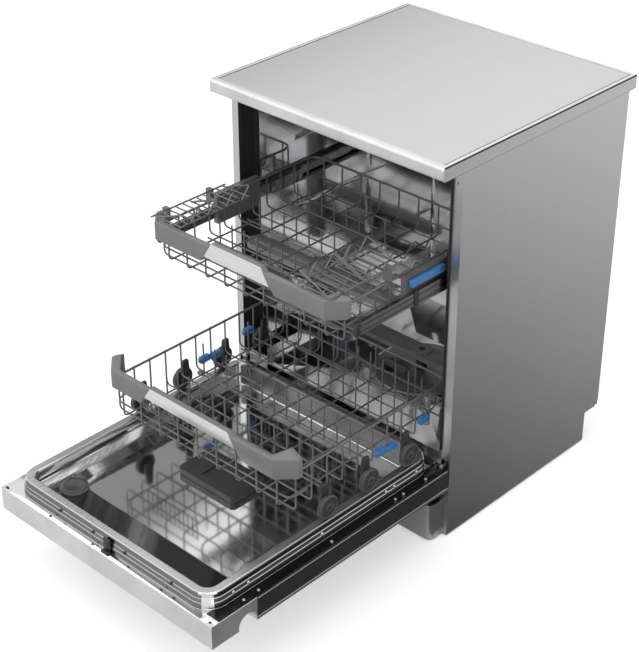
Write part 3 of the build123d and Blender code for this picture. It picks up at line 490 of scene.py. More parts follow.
DOOR_PIECES = (
    ("door_panel", 0.3, "steel_front"), ("control_panel", 0.9, "silver"),
    ("door_frame", 0.5, "black_paint"), ("door_lip_seal", 1.0, "rubber"),
    ("hinge_arms", 0.5, "zinc"), ("power_button", 0.5, "silver"), ("start_button", 0.5, "silver"),
    ("dispenser_body", 1.2, "black_plastic"), ("dispenser_lid", 0.8, "black_plastic"),
    ("rinse_cap", 0.8, "black_plastic"))
RACK_FITTINGS = (
    ("rack_brackets", 0.9, "wire"), ("upper_feed", 1.5, "grey_plastic"),
    ("height_lever_left", 2.2, "blue_plastic"), ("height_lever_right", 2.2, "blue_plastic"),
    ("hinge_brackets", 0.4, "zinc"))


def round_box(bm, low, high, bevel, segments=3):
    """A box between two corners with rounded edges."""
    low, high = Vector(low), Vector(high)
    middle = (low + high) / 2
    size = high - low
    made = bmesh.ops.create_cube(bm, size=1.0, matrix=Matrix.Translation(middle)
                                 @ Matrix.Diagonal((*size, 1.0)))
    edges = list({edge for vert in made["verts"] for edge in vert.link_edges})
    bmesh.ops.bevel(bm, geom=edges, offset=bevel, segments=segments, profile=0.5,
                    affect="EDGES", material=-1)


def side_box(bm, side, xs, ys, zs, bevel, segments=3):
    """A rounded box from its ranges on the right side, mirrored where side is -1."""
    x0, x1 = sorted(side * x for x in xs)
    round_box(bm, (x0, ys[0], zs[0]), (x1, ys[1], zs[1]), bevel, segments)


def turned(bm, profile, centre, axis, steps):
    """A solid of revolution from (radius, height) pairs round an axis through a centre."""
    before = set(bm.verts)
    verts = [bm.verts.new((radius, 0.0, height)) for radius, height in profile]
    edges = [bm.edges.new(pair) for pair in zip(verts, verts[1:])]
    bmesh.ops.spin(bm, geom=verts + edges, cent=(0.0, 0.0, 0.0), axis=UP,
                   angle=math.tau, steps=steps, use_merge=True)
    bmesh.ops.remove_doubles(bm, verts=list(set(bm.verts) - before), dist=0.000002)
    bmesh.ops.transform(bm, matrix=standing(centre, axis), verts=list(set(bm.verts) - before))


def drawn_out(bm, faces, offset):
    """Extrudes faces by an offset and returns the new corners."""
    made = bmesh.ops.extrude_face_region(bm, geom=faces)["geom"]
    corners = [each for each in made if isinstance(each, bmesh.types.BMVert)]
    bmesh.ops.translate(bm, vec=offset, verts=corners)
    return corners


# Cabinet pieces

def stile_screws():
    """Screws on the front stiles and the crossbar."""
    side = HALF / MM
    places = [(at(s * (side - 12), 0.0, 793), (0, -1, 0)) for s in (1, -1)]
    places += [(at(x, 0.0, 809), (0, -1, 0)) for x in (-180, 180)]
    places += [(at(s * (side - 22.2), 30.0, z), (-s, 0, 0)) for s in (-1, 1) for z in (600, 706)]
    screws("stile_screws", places, "cabinet")


def top_border():
    """Border of the top, with brushed sides and a band of painted shadow along its two long upper
    edges, where the edge of the raised plate lies in shade.
    """
    bm = cad_mesh("top_frame")
    low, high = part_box("top_frame")
    border_side_x, painted_shadow_z, foot_z = high.x - 0.0016, high.z - 0.0031, low.z + 0.0011
    for place, normal in (((border_side_x, 0, 0), (1, 0, 0)), ((-border_side_x, 0, 0), (1, 0, 0)),
                          ((0, 0, painted_shadow_z), (0, 0, 1)), ((0, 0, foot_z), (0, 0, 1))):
        bmesh.ops.bisect_plane(bm, geom=bm.verts[:] + bm.edges[:] + bm.faces[:],
                               plane_co=place, plane_no=normal)
    piece = piece_from(bm, "top_frame_dressed", "cabinet", "silver")
    # The top 3.1 mm of the outer sides gets the dark rubber colour as a painted shadow of the
    # plate's edge; the lowest 1.1 mm gets the rail steel.
    brushed, painted_shadow_band, foot = 1, 2, 3
    for material in ("steel_side", "rubber", "rail"):
        piece.data.materials.append(FINISHES[material])
    for face in piece.data.polygons:
        if abs(face.center.x) > border_side_x and abs(face.normal.y) < 0.5:
            z = face.center.z
            face.material_index = painted_shadow_band if z > painted_shadow_z else foot if z < foot_z else brushed
    round_edges(piece, 0.0006)
    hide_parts("top_frame")


def plate_seal():
    """Dark seal in the gap round the brushed top plate."""
    low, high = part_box("top_plate")
    wide = 0.0026
    bm = bmesh.new()
    for x0, x1, y0, y1 in (
            (low.x - wide, low.x, low.y, high.y), (high.x, high.x + wide, low.y, high.y),
            (low.x - wide, high.x + wide, low.y - 0.0007, low.y),
            (low.x - wide, high.x + wide, high.y, high.y + 0.0007)):
        round_box(bm, (x0, y0, low.z), (x1, y1, low.z + 0.0004), 0.0001, 1)
    piece_from(bm, "plate_seal", "cabinet", "rubber")


def gasket_beads():
    """Rounded ribs along the door seal."""
    low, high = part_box("tub_gasket")
    runs = []
    for depth, radius in ((0.0055, 0.0010), (0.0200, 0.0012), (0.0420, 0.0010)):
        x = high.x - 0.0022 - radius * 0.2
        y = low.y + depth
        top = high.z - 0.0022 - radius * 0.2
        runs.append(([(-x, y, low.z), (-x, y, top), (x, y, top), (x, y, low.z)], radius, 0.008))
    wires("gasket_beads", runs, "cabinet", "rubber")


def tub_ribs():
    """Shallow pressed ribs on the tub's side and back walls."""
    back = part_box("tub")[1].y
    depths = (at(0, 150, 0).y, at(0, 440, 0).y)
    bm = bmesh.new()
    for z in (0.33, 0.50, 0.66):
        for side in (-1, 1):
            side_box(bm, side, (0.2678, 0.2702), depths, (z - 0.006, z + 0.006), 0.0011)
    for side in (-1, 1):
        side_box(bm, side, (0.162, 0.178), (back - 0.0019, back - 0.0003), (0.27, 0.74), 0.0007)
    piece_from(bm, "tub_ribs", "cabinet", "polished")


def rail_caps():
    """Black end caps and stops on the upper rack's rails."""
    for node, wide in (("middle_rails", 0.0072), ("inner_rails", 0.0088)):
        low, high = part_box(node)
        bm = bmesh.new()
        for side in (-1, 1):
            side_box(bm, side, (high.x - wide, high.x + 0.0004), (low.y - 0.002, low.y + 0.010),
                     (low.z - 0.0012, high.z + 0.0012), 0.0012)
        piece_from(bm, node[:-1] + "_caps", body_of_node(node), "black_plastic")


def rail_grooves():
    """Rounded beads rolled into the fixed and middle rails."""
    for node, inset in (("outer_rails", 0.0116), ("middle_rails", 0.0068)):
        low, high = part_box(node)
        runs = []
        for side in (-1, 1):
            x = side * (high.x - inset)
            for z in (low.z + 0.0022, high.z - 0.0022):
                runs.append(rod((x, low.y + 0.002, z), (x, high.y - 0.002, z), 0.0010))
        wires(node[:-1] + "_beads", runs, body_of_node(node), "rail")


def rail_painted_shade():
    """Black strips along the outer faces of the sliding rails: painted shade standing for their
    rolled channels.
    """
    for node in ("middle_rails", "inner_rails"):
        low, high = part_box(node)
        bm = bmesh.new()
        for side in (-1, 1):
            for share in (0.26, 0.72):
                z = low.z + (high.z - low.z) * share
                side_box(bm, side, (high.x - 0.0002, high.x + 0.0002),
                         (low.y + 0.004, high.y - 0.004), (z - 0.0014, z + 0.0014), 0.0001, 1)
        piece_from(bm, node + "_channels", body_of_node(node), "black_paint")


# Racks

WHEEL_PAIRS = ("wheel_pair_1", "wheel_pair_2", "wheel_pair_3", "wheel_pair_4")


def basket_runs(node, rim, sizes):
    """Wires of a welded basket inside the space of its CAD node, with its rim at a height."""
    low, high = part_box(node)
    side = high.x - sizes.wire * 0.9
    front = low.y + 2 * sizes.rim
    back = high.y - 2 * sizes.rim
    floor = low.z + sizes.wire
    runs = []
    for y in spread(front + 0.016, back - 0.016, sizes.hoops):
        hoop = [(-side, y, rim), (-side, y, floor), (side, y, floor), (side, y, rim)]
        runs.append((hoop, sizes.wire, sizes.bend))
    for x in spread(0.032 - side, side - 0.032, sizes.runs):
        step = floor + 1.7 * sizes.wire
        long = [(x, front, rim), (x, front, step), (x, back, step), (x, back, rim)]
        runs.append((long, sizes.wire, sizes.bend))
    inner = side - 0.0038
    near = front + 0.004
    low_rail = floor + (rim - floor) * 0.36
    corner_bend = 0.026
    loop = [(0, back, rim), (inner, back, rim), (inner, near, rim),
            (-inner, near, rim), (-inner, back, rim), (0, back, rim)]
    runs.append((loop, sizes.rim, corner_bend))
    bow = [(inner, front + 0.05, low_rail), (inner, near, low_rail),
           (-inner, near, low_rail), (-inner, front + 0.05, low_rail)]
    runs.append((bow, sizes.wire, corner_bend))
    runs.append(rod((-inner, back, low_rail), (inner, back, low_rail), sizes.wire))
    return runs


def prongs(xs, y, z, tall, radius):
    """Upright prongs."""
    return [rod((x, y, z), (x, y, z + tall), radius) for x in xs]


def upper_wires(sizes):
    """Upper basket with its fixed prongs."""
    runs = basket_runs("upper_basket", UPPER_RIM_Z, sizes)
    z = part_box("upper_basket")[0].z + 3.6 * sizes.wire
    for depth in (-150, -40, 70):
        y = at(0, depth, 0).y
        runs.append(rod((-0.220, y, z), (0.070, y, z), sizes.wire))
        runs += prongs(spread(-0.184, 0.056, 8), y, z, tall=0.052, radius=0.0017)
    for x in (0.125, 0.182):
        path = [(x, at(0, -245, 0).y, z)]
        for i in range(13):
            path.append((x, at(0, -232 + i * 31, 0).y, z + (0.002 if i % 2 else 0.030)))
        runs.append((path, 0.0016, 0.007))
    piece = wires("upper_basket_wires", runs, "upper_rack", "wire")
    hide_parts("upper_basket")


def lower_wires(sizes):
    """Lower basket with two rows of fixed prongs and a row of small ones."""
    low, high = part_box("lower_basket")
    runs = basket_runs("lower_basket", high.z - sizes.rim, sizes)
    z = low.z + 3.6 * sizes.wire
    for depth in (-292, -62):
        y = at(0, depth, 0).y
        runs.append(rod((-0.2255, y, z), (0.2255, y, z), sizes.wire))
        runs += prongs(spread(-0.2035, 0.2035, 13), y, z, tall=0.0755, radius=0.0018)
    y = at(0, -352, 0).y
    runs.append(rod((-0.216, y, z), (-0.060, y, z), sizes.wire))
    runs.append(rod((-0.216, y, z + 0.046), (-0.060, y, z + 0.046), 0.0016))
    runs += prongs(spread(-0.212, -0.064, 12), y, z, tall=0.048, radius=0.0015)
    piece = wires("lower_basket_wires", runs, "lower_rack", "wire")
    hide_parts("lower_basket")


def folding_rows(sizes):
    """The two folding prong rows with sleeves on their rods' ends."""
    sleeve = ((0.0022, -0.006), (0.0046, -0.006), (0.0050, -0.005), (0.0050, 0.005),
              (0.0046, 0.006), (0.0022, 0.006))
    for node in ("tine_row_front", "tine_row_back"):
        low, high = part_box(node)
        y, z = middle_of(node).y, low.z + sizes.wire
        runs = [rod((-high.x, y, z), (high.x, y, z), sizes.wire)]
        runs += prongs(spread(-0.2035, 0.2035, 13), y, z, tall=high.z - z, radius=0.0018)
        piece = wires(node + "_wires", runs, body_of_node(node), "wire")
        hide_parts(node)
        bm = bmesh.new()
        for x in (0.009 - high.x, high.x - 0.009):
            turned(bm, sleeve, (x, y, z), (1, 0, 0), 16)
        piece_from(bm, node + "_sleeves", body_of_node(node), "grey_plastic")


def cup_shelves(sizes):
    """Folding cup shelves of bent wire with W-shaped rests along the free edge."""
    for node, side in (("cup_shelf_right", 1), ("cup_shelf_left", -1)):
        low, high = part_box(node)
        near = max(abs(low.x), abs(high.x)) - sizes.wire
        far = min(abs(low.x), abs(high.x)) + sizes.wire
        z = low.z + sizes.wire
        top = high.z - 0.0015
        y0, y1 = low.y + 0.002, high.y - 0.002
        runs = [rod((side * near, y0, z), (side * near, y1, z), sizes.wire),
                rod((side * far, y0 + 0.004, z + 0.003), (side * far, y1 - 0.004, z + 0.003),
                    sizes.wire)]
        for y in spread(y0 + 0.008, y1 - 0.008, 11):
            runs.append(([(side * near, y, z), (side * (near - 0.012), y, z - 0.0002),
                          (side * far, y, z + 0.0015)], 0.0016, 0.006))
        for y in (y0 + 0.052, y1 - 0.052):
            peaks = [(side * far, y + (i - 2) * 0.022, z + 0.002 if i % 2 else top)
                     for i in range(5)]
            feet = [(side * (near - 0.010), end[1], z) for end in (peaks[0], peaks[-1])]
            runs.append((feet[:1] + peaks + feet[1:], 0.0016, 0.004))
        piece = wires(node + "_wires", runs, body_of_node(node), "wire")
        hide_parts(node)


def grip_bar(node, bend_x, middle_top, middle_bottom, lift_low, lift_high, ear):
    """Handle bar with a raised middle, slanted corners and wings that rise at their ends."""
    low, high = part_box(node)
    columns = [-middle_bottom - 0.012, -middle_bottom, -middle_top - 0.008, -middle_top]
    columns += [-x for x in reversed(columns)]
    outer = [(-high.x, high.y), (-high.x, high.y - 0.012), (-bend_x, low.y)]
    inner = [(-high.x + 0.0270, high.y), (-high.x + 0.0265, high.y - 0.008),
             (-bend_x + 0.014, low.y + 0.013)]
    outer += [(x, low.y) for x in columns]
    inner += [(x, low.y + 0.013) for x in columns]
    outer += [(-x, y) for x, y in reversed(outer[:3])]
    inner += [(-x, y) for x, y in reversed(inner[:3])]
    bm = bmesh.new()
    chains = []
    for path in (outer, inner):
        verts = [bm.verts.new((x, y, low.z)) for x, y in path]
        chains += [bm.edges.new(pair) for pair in zip(verts, verts[1:])]
    floor = bmesh.ops.bridge_loops(bm, edges=chains)["faces"]
    top = drawn_out(bm, floor, (0.0, 0.0, high.z - low.z))
    for vert in bm.verts:
        across = abs(vert.co.x)
        if vert in top:
            if across < middle_top + 0.001:
                vert.co.z += lift_high
            elif vert.co.y > high.y - 0.010 and across < high.x - 0.020:
                vert.co.z += ear
        elif across < middle_bottom + 0.001:
            vert.co.z += lift_low
    bmesh.ops.recalc_face_normals(bm, faces=bm.faces)
    sharp = [e for e in bm.edges if e.calc_face_angle(0.0) > math.radians(50.0)]
    bmesh.ops.bevel(bm, geom=sharp, offset=0.0026, segments=3, profile=0.5, affect="EDGES",
                    material=-1, clamp_overlap=True)
    piece = piece_from(bm, node + "_bar", body_of_node(node), "grey_plastic")
    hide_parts(node)


def inlay_plate(node, handle_node, half_top, half_bottom, z0, z1):
    """Bright slanted plate on the front of a handle."""
    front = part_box(handle_node)[0].y
    bm = bmesh.new()
    corners = ((-half_bottom, z0), (half_bottom, z0), (half_top, z1), (-half_top, z1))
    plate = bm.faces.new([bm.verts.new((x, front + 0.0004, z)) for x, z in corners])
    drawn_out(bm, [plate], (0.0, -0.0018, 0.0))
    bmesh.ops.recalc_face_normals(bm, faces=bm.faces)
    bmesh.ops.bevel(bm, geom=list(bm.edges), offset=0.0005, segments=2, profile=0.5,
                    affect="EDGES", material=-1)
    piece = piece_from(bm, node + "_plate", body_of_node(node), "inlay")
    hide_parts(node)


def rack_handles():
    """Both rack handles and their bright plates."""
    grip_bar("upper_handle", bend_x=0.224, middle_top=0.066, middle_bottom=0.086,
             lift_low=0.0145, lift_high=0.0090, ear=0.0080)
    grip_bar("lower_handle", bend_x=0.222, middle_top=0.108, middle_bottom=0.126,
             lift_low=0.0200, lift_high=0.0070, ear=0.0140)
    inlay_plate("upper_inlay", "upper_handle", 0.065, 0.086, 0.6170, 0.6500)
    inlay_plate("lower_inlay", "lower_handle", 0.106, 0.124, 0.3470, 0.3745)


def wheel_arms():
    """Tapered arms that carry the wheels, with their axles and washers."""
    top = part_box("wheel_brackets")[1].z
    axle = ((0.0, 0.0), (0.0034, 0.0), (0.0034, 0.0120), (0.0, 0.0120))
    washer = ((0.0044, 0.0), (0.0072, 0.0), (0.0066, 0.0005), (0.0044, 0.0006))
    bm = bmesh.new()
    for node in WHEEL_PAIRS:
        _, y, z = middle_of(node)
        for side in (-1, 1):
            before = set(bm.verts)
            side_box(bm, side, (0.2478, 0.2564), (y - 0.0125, y + 0.0125), (z - 0.0105, top),
                     0.0030, 4)
            for vert in set(bm.verts) - before:
                vert.co.y = y + (vert.co.y - y) * (1.0 - 0.42 * (vert.co.z - z) / 0.05)
            turned(bm, axle, (side * 0.2560, y, z), (side, 0, 0), 20)
            turned(bm, washer, (side * 0.2562, y, z), (side, 0, 0), 20)
    piece = piece_from(bm, "wheel_arms", "lower_rack", "black_plastic")
    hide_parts("wheel_brackets")


def wheel_detail(bm, centre, side, radius):
    """One wheel: rounded tyre with a groove, web, spokes and a hub."""
    half = 0.005
    web = 0.0012
    upper = [(radius - 0.0008, 0.0006), (radius, 0.0009), (radius, half - 0.0022),
             (radius - 0.0004, half - 0.0010), (radius - 0.0016, half),
             (radius - 0.0040, half), (radius - 0.0046, half - 0.0008),
             (radius - 0.0050, web), (0.0095, web), (0.0090, half - 0.0004),
             (0.0080, half), (0.0036, half)]
    lower = [(reach, -height) for reach, height in reversed(upper)]
    turned(bm, upper + lower + upper[:1], centre, (side, 0, 0), 40)
    for k in range(10):
        before = set(bm.verts)
        round_box(bm, (web - half, 0.0085, -0.0008), (half - web, radius - 0.0044, 0.0008),
                  0.0004, 2)
        turn = Matrix.Rotation(k * math.tau / 10, 4, "X")
        bmesh.ops.transform(bm, matrix=Matrix.Translation(centre) @ turn,
                            verts=list(set(bm.verts) - before))


def wheels():
    """The lower rack's eight wheels."""
    for node in WHEEL_PAIRS:
        _, y, z = middle_of(node)
        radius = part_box(node)[1].z - z
        bm = bmesh.new()
        for side in (-1, 1):
            wheel_detail(bm, (side * WHEEL_X, y, z), side, radius)
        piece = piece_from(bm, node + "_detail", body_of_node(node), "dark_plastic")
        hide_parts(node)


def axle_caps():
    """Domed caps on the wheel axles."""
    dome = ((0.0, 0.0010), (0.0030, 0.0008), (0.0044, 0.0003), (0.0046, 0.0), (0.0, 0.0))
    bm = bmesh.new()
    for node in WHEEL_PAIRS:
        _, y, z = middle_of(node)
        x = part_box(node)[1].x + 0.0001
        for side in (-1, 1):
            turned(bm, dome, (side * x, y, z), (side, 0, 0), 20)
    piece_from(bm, "axle_caps", "lower_rack", "black_plastic")


def blue_clips():
    """Blue ribbed clips that hold the folding rows and the rear wheels' brackets."""
    bm = bmesh.new()
    for side in (-1, 1):
        for place in (at(240.5, -119, 258), at(240.5, -150, 262), at(240.5, -22, 274)):
            x, y, z = place
            side_box(bm, side, (x, x + 0.010), (y - 0.015, y + 0.015), (z - 0.006, z + 0.006),
                     0.0024)
            for rib in spread(y - 0.009, y + 0.009, 4):
                side_box(bm, side, (x - 0.0008, x + 0.0108), (rib - 0.0014, rib + 0.0014),
                         (z - 0.0075, z + 0.0075), 0.0008, 2)
    piece_from(bm, "rack_clips", "lower_rack", "blue_plastic")


# Door

def liner_sheet():
    """Inner door sheet: flange with hinge notches, raised creased rim and the sloping pan."""
    bm = bmesh.new()
    near, far = at(0, PAN_NEAR, 0).y, at(0, PAN_FAR, 0).y
    face = pressed_outline(bm, 0.274, far, near, FLANGE_Z, 0.045)
    edge = HALF - 0.001
    y0, y1 = at(0, -647.4, 0).y, at(0, -0.5, 0).y
    notch_in, notch_out, deep = 0.2785, 0.2945, at(0, -15.5, 0).y
    right = [(edge, y0), (edge, y1), (notch_out, y1), (notch_out, deep), (notch_in, deep),
             (notch_in, y1)]
    outline = [(-edge, y0)] + right + [(-x, y) for x, y in reversed(right[1:])]
    corners = [bm.verts.new((x, y, FLANGE_Z)) for x, y in outline]
    rim = [bm.edges.new(pair) for pair in zip(corners, corners[1:] + corners[:1])]
    bmesh.ops.triangle_fill(bm, edges=rim + list(face.edges), use_beauty=True, normal=UP)
    press(bm, face, (
        (0.3, 0.0), (0.3, 0.2), (0.3, 1.0), (0.4, 10.7), (1.1, 0.8), (0.4, 8.6), (1.1, 0.8),
        (0.4, 6.3), (0.7, 2.6), (1.4, 1.4), (1.8, 0.4), (0.3, 0.0), (12.4, 0.0), (0.3, 0.0),
        (1.6, -0.4), (1.2, -1.4), (0.8, -2.6), (0.05, -0.6), (0.4, -42.8), (0.05, -0.6)))
    for vert in face.verts:
        if vert.co.y < at(0, -560, 0).y:
            vert.co.y += 0.085
    press(bm, face, ((1.0, -3.0), (2.0, -1.3), (2.5, -0.3), (0.4, 0.0)))
    bmesh.ops.recalc_face_normals(bm, faces=bm.faces)
    if face.normal.z < 0:
        bmesh.ops.reverse_faces(bm, faces=bm.faces)
    wall_x, wall_y = 0.2655, far + 0.004
    for place, normal in (((-wall_x, 0, 0), (1, 0, 0)), ((wall_x, 0, 0), (1, 0, 0)),
                          ((0, wall_y, 0), (0, 1, 0))):
        flat = [f for f in bm.faces if abs(f.calc_center_median().z - FLANGE_Z) < 0.0002]
        bmesh.ops.bisect_plane(bm, geom=flat + list({e for f in flat for e in f.edges}),
                               plane_co=place, plane_no=normal)
    # The raised walls get darker copies of the liner's steel as painted shade: near black on the
    # right side's walls and flange, grey on the far end and the other raised walls.
    satin_rim, satin_painted_shade_wall, dark_painted_shade_wall = 1, 2, 3
    for each in bm.faces:
        each.smooth = True
        x, y, z = each.calc_center_median()
        shaded_side = x > wall_x and y > wall_y
        outside = abs(x) > wall_x or y < far + 0.0085 or y > near - 0.0085
        crease = 0.3 < abs(each.normal.z) < 0.95 and z < RIM_Z - 0.003
        raised = z > FLANGE_Z + 0.0002
        if z > RIM_Z - 0.0012 or (outside and crease):
            each.material_index = satin_rim
        elif shaded_side and (abs(each.normal.x) > 0.75 or not raised):
            each.material_index = dark_painted_shade_wall
        elif (outside and raised) or (y > near - 0.045 and each.normal.y < -0.7):
            each.material_index = satin_painted_shade_wall
    piece = settle(object_from(bm, "door_liner_sheet"), "door", "pan_steel")
    for material in ("satin_rim", "satin_painted_shade_wall", "dark_painted_shade_wall"):
        piece.data.materials.append(FINISHES[material])
    wall = piece.modifiers.new("Sheet", "SOLIDIFY")
    wall.thickness = SHEET
    wall.offset = -1.0
    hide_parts("door_liner")


def vent_detail():
    """Round drying vent with a ringed skirt and a dished cap."""
    low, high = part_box("vent_cap")
    x, y, _ = middle_of("vent_cap")
    radius = high.x - x
    tall = high.z - low.z
    profile = [(radius * share, tall - drop) for share, drop in (
        (0.0, 0.0022), (0.55, 0.0016), (0.62, 0.0004), (0.70, 0.0), (0.78, 0.0006),
        (0.82, 0.0030))]
    for i in range(3):
        z = tall - 0.0035 - i * 0.0030
        profile += [(radius * share, z - drop) for share, drop in (
            (0.86, 0.0), (0.97, 0.0004), (0.97, 0.0016), (0.86, 0.0020))]
    profile += [(radius, 0.0020), (radius, 0.0), (0.0, 0.0)]
    bm = bmesh.new()
    turned(bm, profile, (x, y, low.z), UP, 48)
    piece = piece_from(bm, "vent_cap_detail", "door", "vent_plastic")
    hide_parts("vent_cap")


def lock_detail():
    """Lock plate on the raised wall and its keeper on the flange, both rounded."""
    bm = bmesh.new()
    x, wall = 0.007, at(0, PAN_FAR, 0).y
    for half, out, inward, z0, z1, bevel, segments in (
            (0.0090, 0.0052, 0.0010, 0.1775, 0.2005, 0.0024, 4),
            (0.0055, 0.0066, -0.0040, 0.1820, 0.1960, 0.0012, 3),
            (0.0090, 0.0125, -0.0018, 0.1700, 0.1755, 0.0018, 4)):
        round_box(bm, (x - half, wall - out, z0), (x + half, wall + inward, z1), bevel, segments)
    turned(bm, ((0.0, 0.0), (0.0042, 0.0), (0.0038, 0.0016), (0.0018, 0.0020), (0.0, 0.0012)),
           (x, wall - 0.0075, 0.1752), UP, 20)
    piece = piece_from(bm, "door_lock_detail", "door", "black_plastic")
    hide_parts("door_lock")


def door_screws():
    """Screws on the inner door's flange, on its raised far wall and on its raised side walls."""
    wall = [(at(x, PAN_FAR + 0.6, 190), (0, -1, 0)) for x in (-133.5, -38, 52, 177.3)]
    flange = [(at(x, PAN_FAR - 7, 170.2), UP) for x in (-288, -154, -30, 160, 288)]
    screws("wall_screws", wall + flange, "door", 0.0034, "black_plastic")
    sides = []
    for s in (-1, 1):
        for depth in (-569, -532, -340, -160, -136, -70):
            sides.append((at(s * 273.4, depth, 186), (s, 0, 0)))
            sides.append((at(s * 286.5, depth + 11, 170.2), UP))
    screws("side_screws", sides, "door", 0.0036, "silver")


def door_edge_trim():
    """Bright hems along the black sides of the door."""
    runs = []
    for side in (-1, 1):
        x = side * (HALF - 0.0009)
        for z in (0.1235, 0.1655):
            runs.append(rod((x, at(0, -534, 0).y, z), (x, at(0, -6, 0).y, z), 0.0008))
    wires("door_edge_trim", runs, "door", "satin_rim")


# Spray arms, back and feet

def nozzle_rings():
    """Raised nozzles along the spray arms, and a collar on their middles."""
    nozzle = ((0.0012, -0.0005), (0.0012, 0.0008), (0.0020, 0.0014), (0.0036, 0.0012),
              (0.0044, 0.0), (0.0044, -0.0005), (0.0012, -0.0005))
    collar = ((0.0074, 0.0), (0.0074, 0.0018), (0.0140, 0.0018), (0.0160, 0.0006),
              (0.0160, 0.0), (0.0074, 0.0))
    for node, count in (("lower_spray_arm", 5), ("upper_spray_arm", 5), ("ceiling_spray_arm", 2)):
        low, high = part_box(node)
        middle = middle_of(node)
        reach = high.x - middle.x
        bm = bmesh.new()
        for side in (-1, 1):
            for i, x in enumerate(spread(reach * 0.28, reach * 0.88, count)):
                y = middle.y + (0.006 if i % 2 else -0.006)
                turned(bm, nozzle, (side * x, y, low.z + 0.012), UP, 16)
        turned(bm, collar, (middle.x, middle.y, high.z - 0.0001), UP, 28)
        piece_from(bm, node + "_nozzles", body_of_node(node), "grey_plastic")


def rear_details():
    """Pressed ribs and screws on the back sheet, and threads on the ports."""
    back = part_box("back_panel")[1].y
    bm = bmesh.new()
    for x in spread(-0.19, 0.19, 5):
        round_box(bm, (x - 0.006, back - 0.0006, 0.16), (x + 0.006, back + 0.0008, 0.76),
                  0.0006)
    piece_from(bm, "back_ribs", "cabinet", "zinc")
    places = [(Vector((x, back, z)), (0, 1, 0)) for x in (-0.285, 0.285)
              for z in (0.12, 0.34, 0.56, 0.78)]
    screws("back_screws", places, "cabinet", 0.0034)
    bm = bmesh.new()
    for x, start, pitch, count, root, crest, half, steps in (
            (-225, 479, 2.0, 7, 0.0104, 0.0112, 0.0009, 28),
            (-190, 484, 5.0, 3, 0.0086, 0.0093, 0.0012, 24)):
        for k in range(count):
            turned(bm, ((root, -half), (crest, 0.0), (root, half)),
                   at(x, start + k * pitch, 44), (0, 1, 0), steps)
    piece_from(bm, "port_threads", "cabinet", "black_plastic")


def feet_detail():
    """Adjustable feet with their stems."""
    low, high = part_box("feet")
    tall = high.z - low.z
    foot = ((0.0, 0.0), (0.0165, 0.0), (0.0180, 0.0008), (0.0180, 0.0022), (0.0172, 0.0030),
            (0.0070, 0.0030), (0.0050, 0.0045), (0.0050, tall), (0.0, tall))
    bm = bmesh.new()
    for x in (-0.262, 0.262):
        for y in (low.y + 0.018, high.y - 0.018):
            turned(bm, foot, (x, y, low.z), UP, 36)
    piece = piece_from(bm, "feet_detail", "cabinet", "black_plastic")
    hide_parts("feet")


# Stage

WHITE = (1.0, 1.0, 1.0, 1.0)


def stage_sheet(name, centre, across, along, grey, rough):
    """A flat sheet of the stage and its matt shader, which can glow white."""
    bm = bmesh.new()
    bmesh.ops.create_grid(bm, x_segments=1, y_segments=1, size=0.5)
    for vert in bm.verts:
        vert.co = Vector(centre) + Vector(across) * vert.co.x + Vector(along) * vert.co.y
    sheet = object_from(bm, name)
    bpy.context.scene.collection.objects.link(sheet)
    material = bpy.data.materials.new(name)
    material.use_nodes = True
    sheet.data.materials.append(material)
    shader = material.node_tree.nodes["Principled BSDF"]
    shader.inputs["Base Color"].default_value = (grey, grey, grey, 1.0)
    shader.inputs["Roughness"].default_value = rough
    shader.inputs["Emission Color"].default_value = WHITE
    return sheet, shader, material.node_tree.nodes, material.node_tree.links


def shade_card(name, centre, across, along, axis, near, far):
    """Card that only glossy surfaces see; its glow rises along one axis, near and far being
    (place, strength)."""
    card, shader, nodes, links = stage_sheet(name, centre, across, along, 0.0, 1.0)
    shader.inputs["Specular IOR Level"].default_value = 0.0
    place = nodes.new("ShaderNodeTexCoord")
    parts = nodes.new("ShaderNodeSeparateXYZ")
    links.new(place.outputs["Object"], parts.inputs["Vector"])
    level = ramp_between(nodes, links, parts.outputs[axis], near[1], far[1], near[0], far[0])
    links.new(level, shader.inputs["Emission Strength"])
    card.visible_camera = False
    card.visible_diffuse = False
    card.visible_shadow = False
    card.visible_transmission = False


def make_cards():
    """Grey floor cards beside both sides and one standing card that shades the top."""
    edge = HALF + 0.0005
    for name, side, front in (("CardRight", 1, -0.8), ("CardLeft", -1, 0.02)):
        shade_card(name, (side * (edge + 1.2), (front + 2.9) / 2, 0.004), (2.4, 0.0, 0.0),
                   (0.0, 2.9 - front, 0.0), "Y", (0.1, 0.09), (2.3, 0.88))
    shade_card("CardBack", (-1.2, 1.9, 1.3), (0.0, 3.6, 0.0), (0.0, 0.0, 2.4), "Z",
               (1.32, 0.32), (1.54, 1.28))


def make_world(strength):
    """Even sky that is white for the camera, for glosses and for clear materials."""
    world = bpy.data.worlds.new("Studio")
    bpy.context.scene.world = world
    world.use_nodes = True
    nodes, links = world.node_tree.nodes, world.node_tree.links
    sky = nodes["Background"]
    sky.inputs["Color"].default_value = WHITE
    path = nodes.new("ShaderNodeLightPath")
    seen = math_node(nodes, links, "MAXIMUM", path.outputs["Is Camera Ray"],
                     path.outputs["Is Glossy Ray"])
    white = math_node(nodes, links, "MAXIMUM", seen, path.outputs["Is Transmission Ray"])
    links.new(ramp_between(nodes, links, white, strength, 1.0, 0.0, 1.0), sky.inputs["Strength"])


def make_floor():
    """Pale floor that glows a little for the camera alone."""
    floor, shader, nodes, links = stage_sheet("Floor", (0.0, 0.0, 0.0), (16.0, 0.0, 0.0),
                                              (0.0, 16.0, 0.0), 0.82, 0.9)
    path = nodes.new("ShaderNodeLightPath")
    glow = math_node(nodes, links, "MULTIPLY", path.outputs["Is Camera Ray"], 0.45)
    links.new(glow, shader.inputs["Emission Strength"])


def add_holder(name, data, place, turn):
    """Puts a lamp or the camera in the scene."""
    holder = bpy.data.objects.new(name, data)
    holder.location = place
    holder.rotation_euler = turn
    bpy.context.scene.collection.objects.link(holder)
    return holder


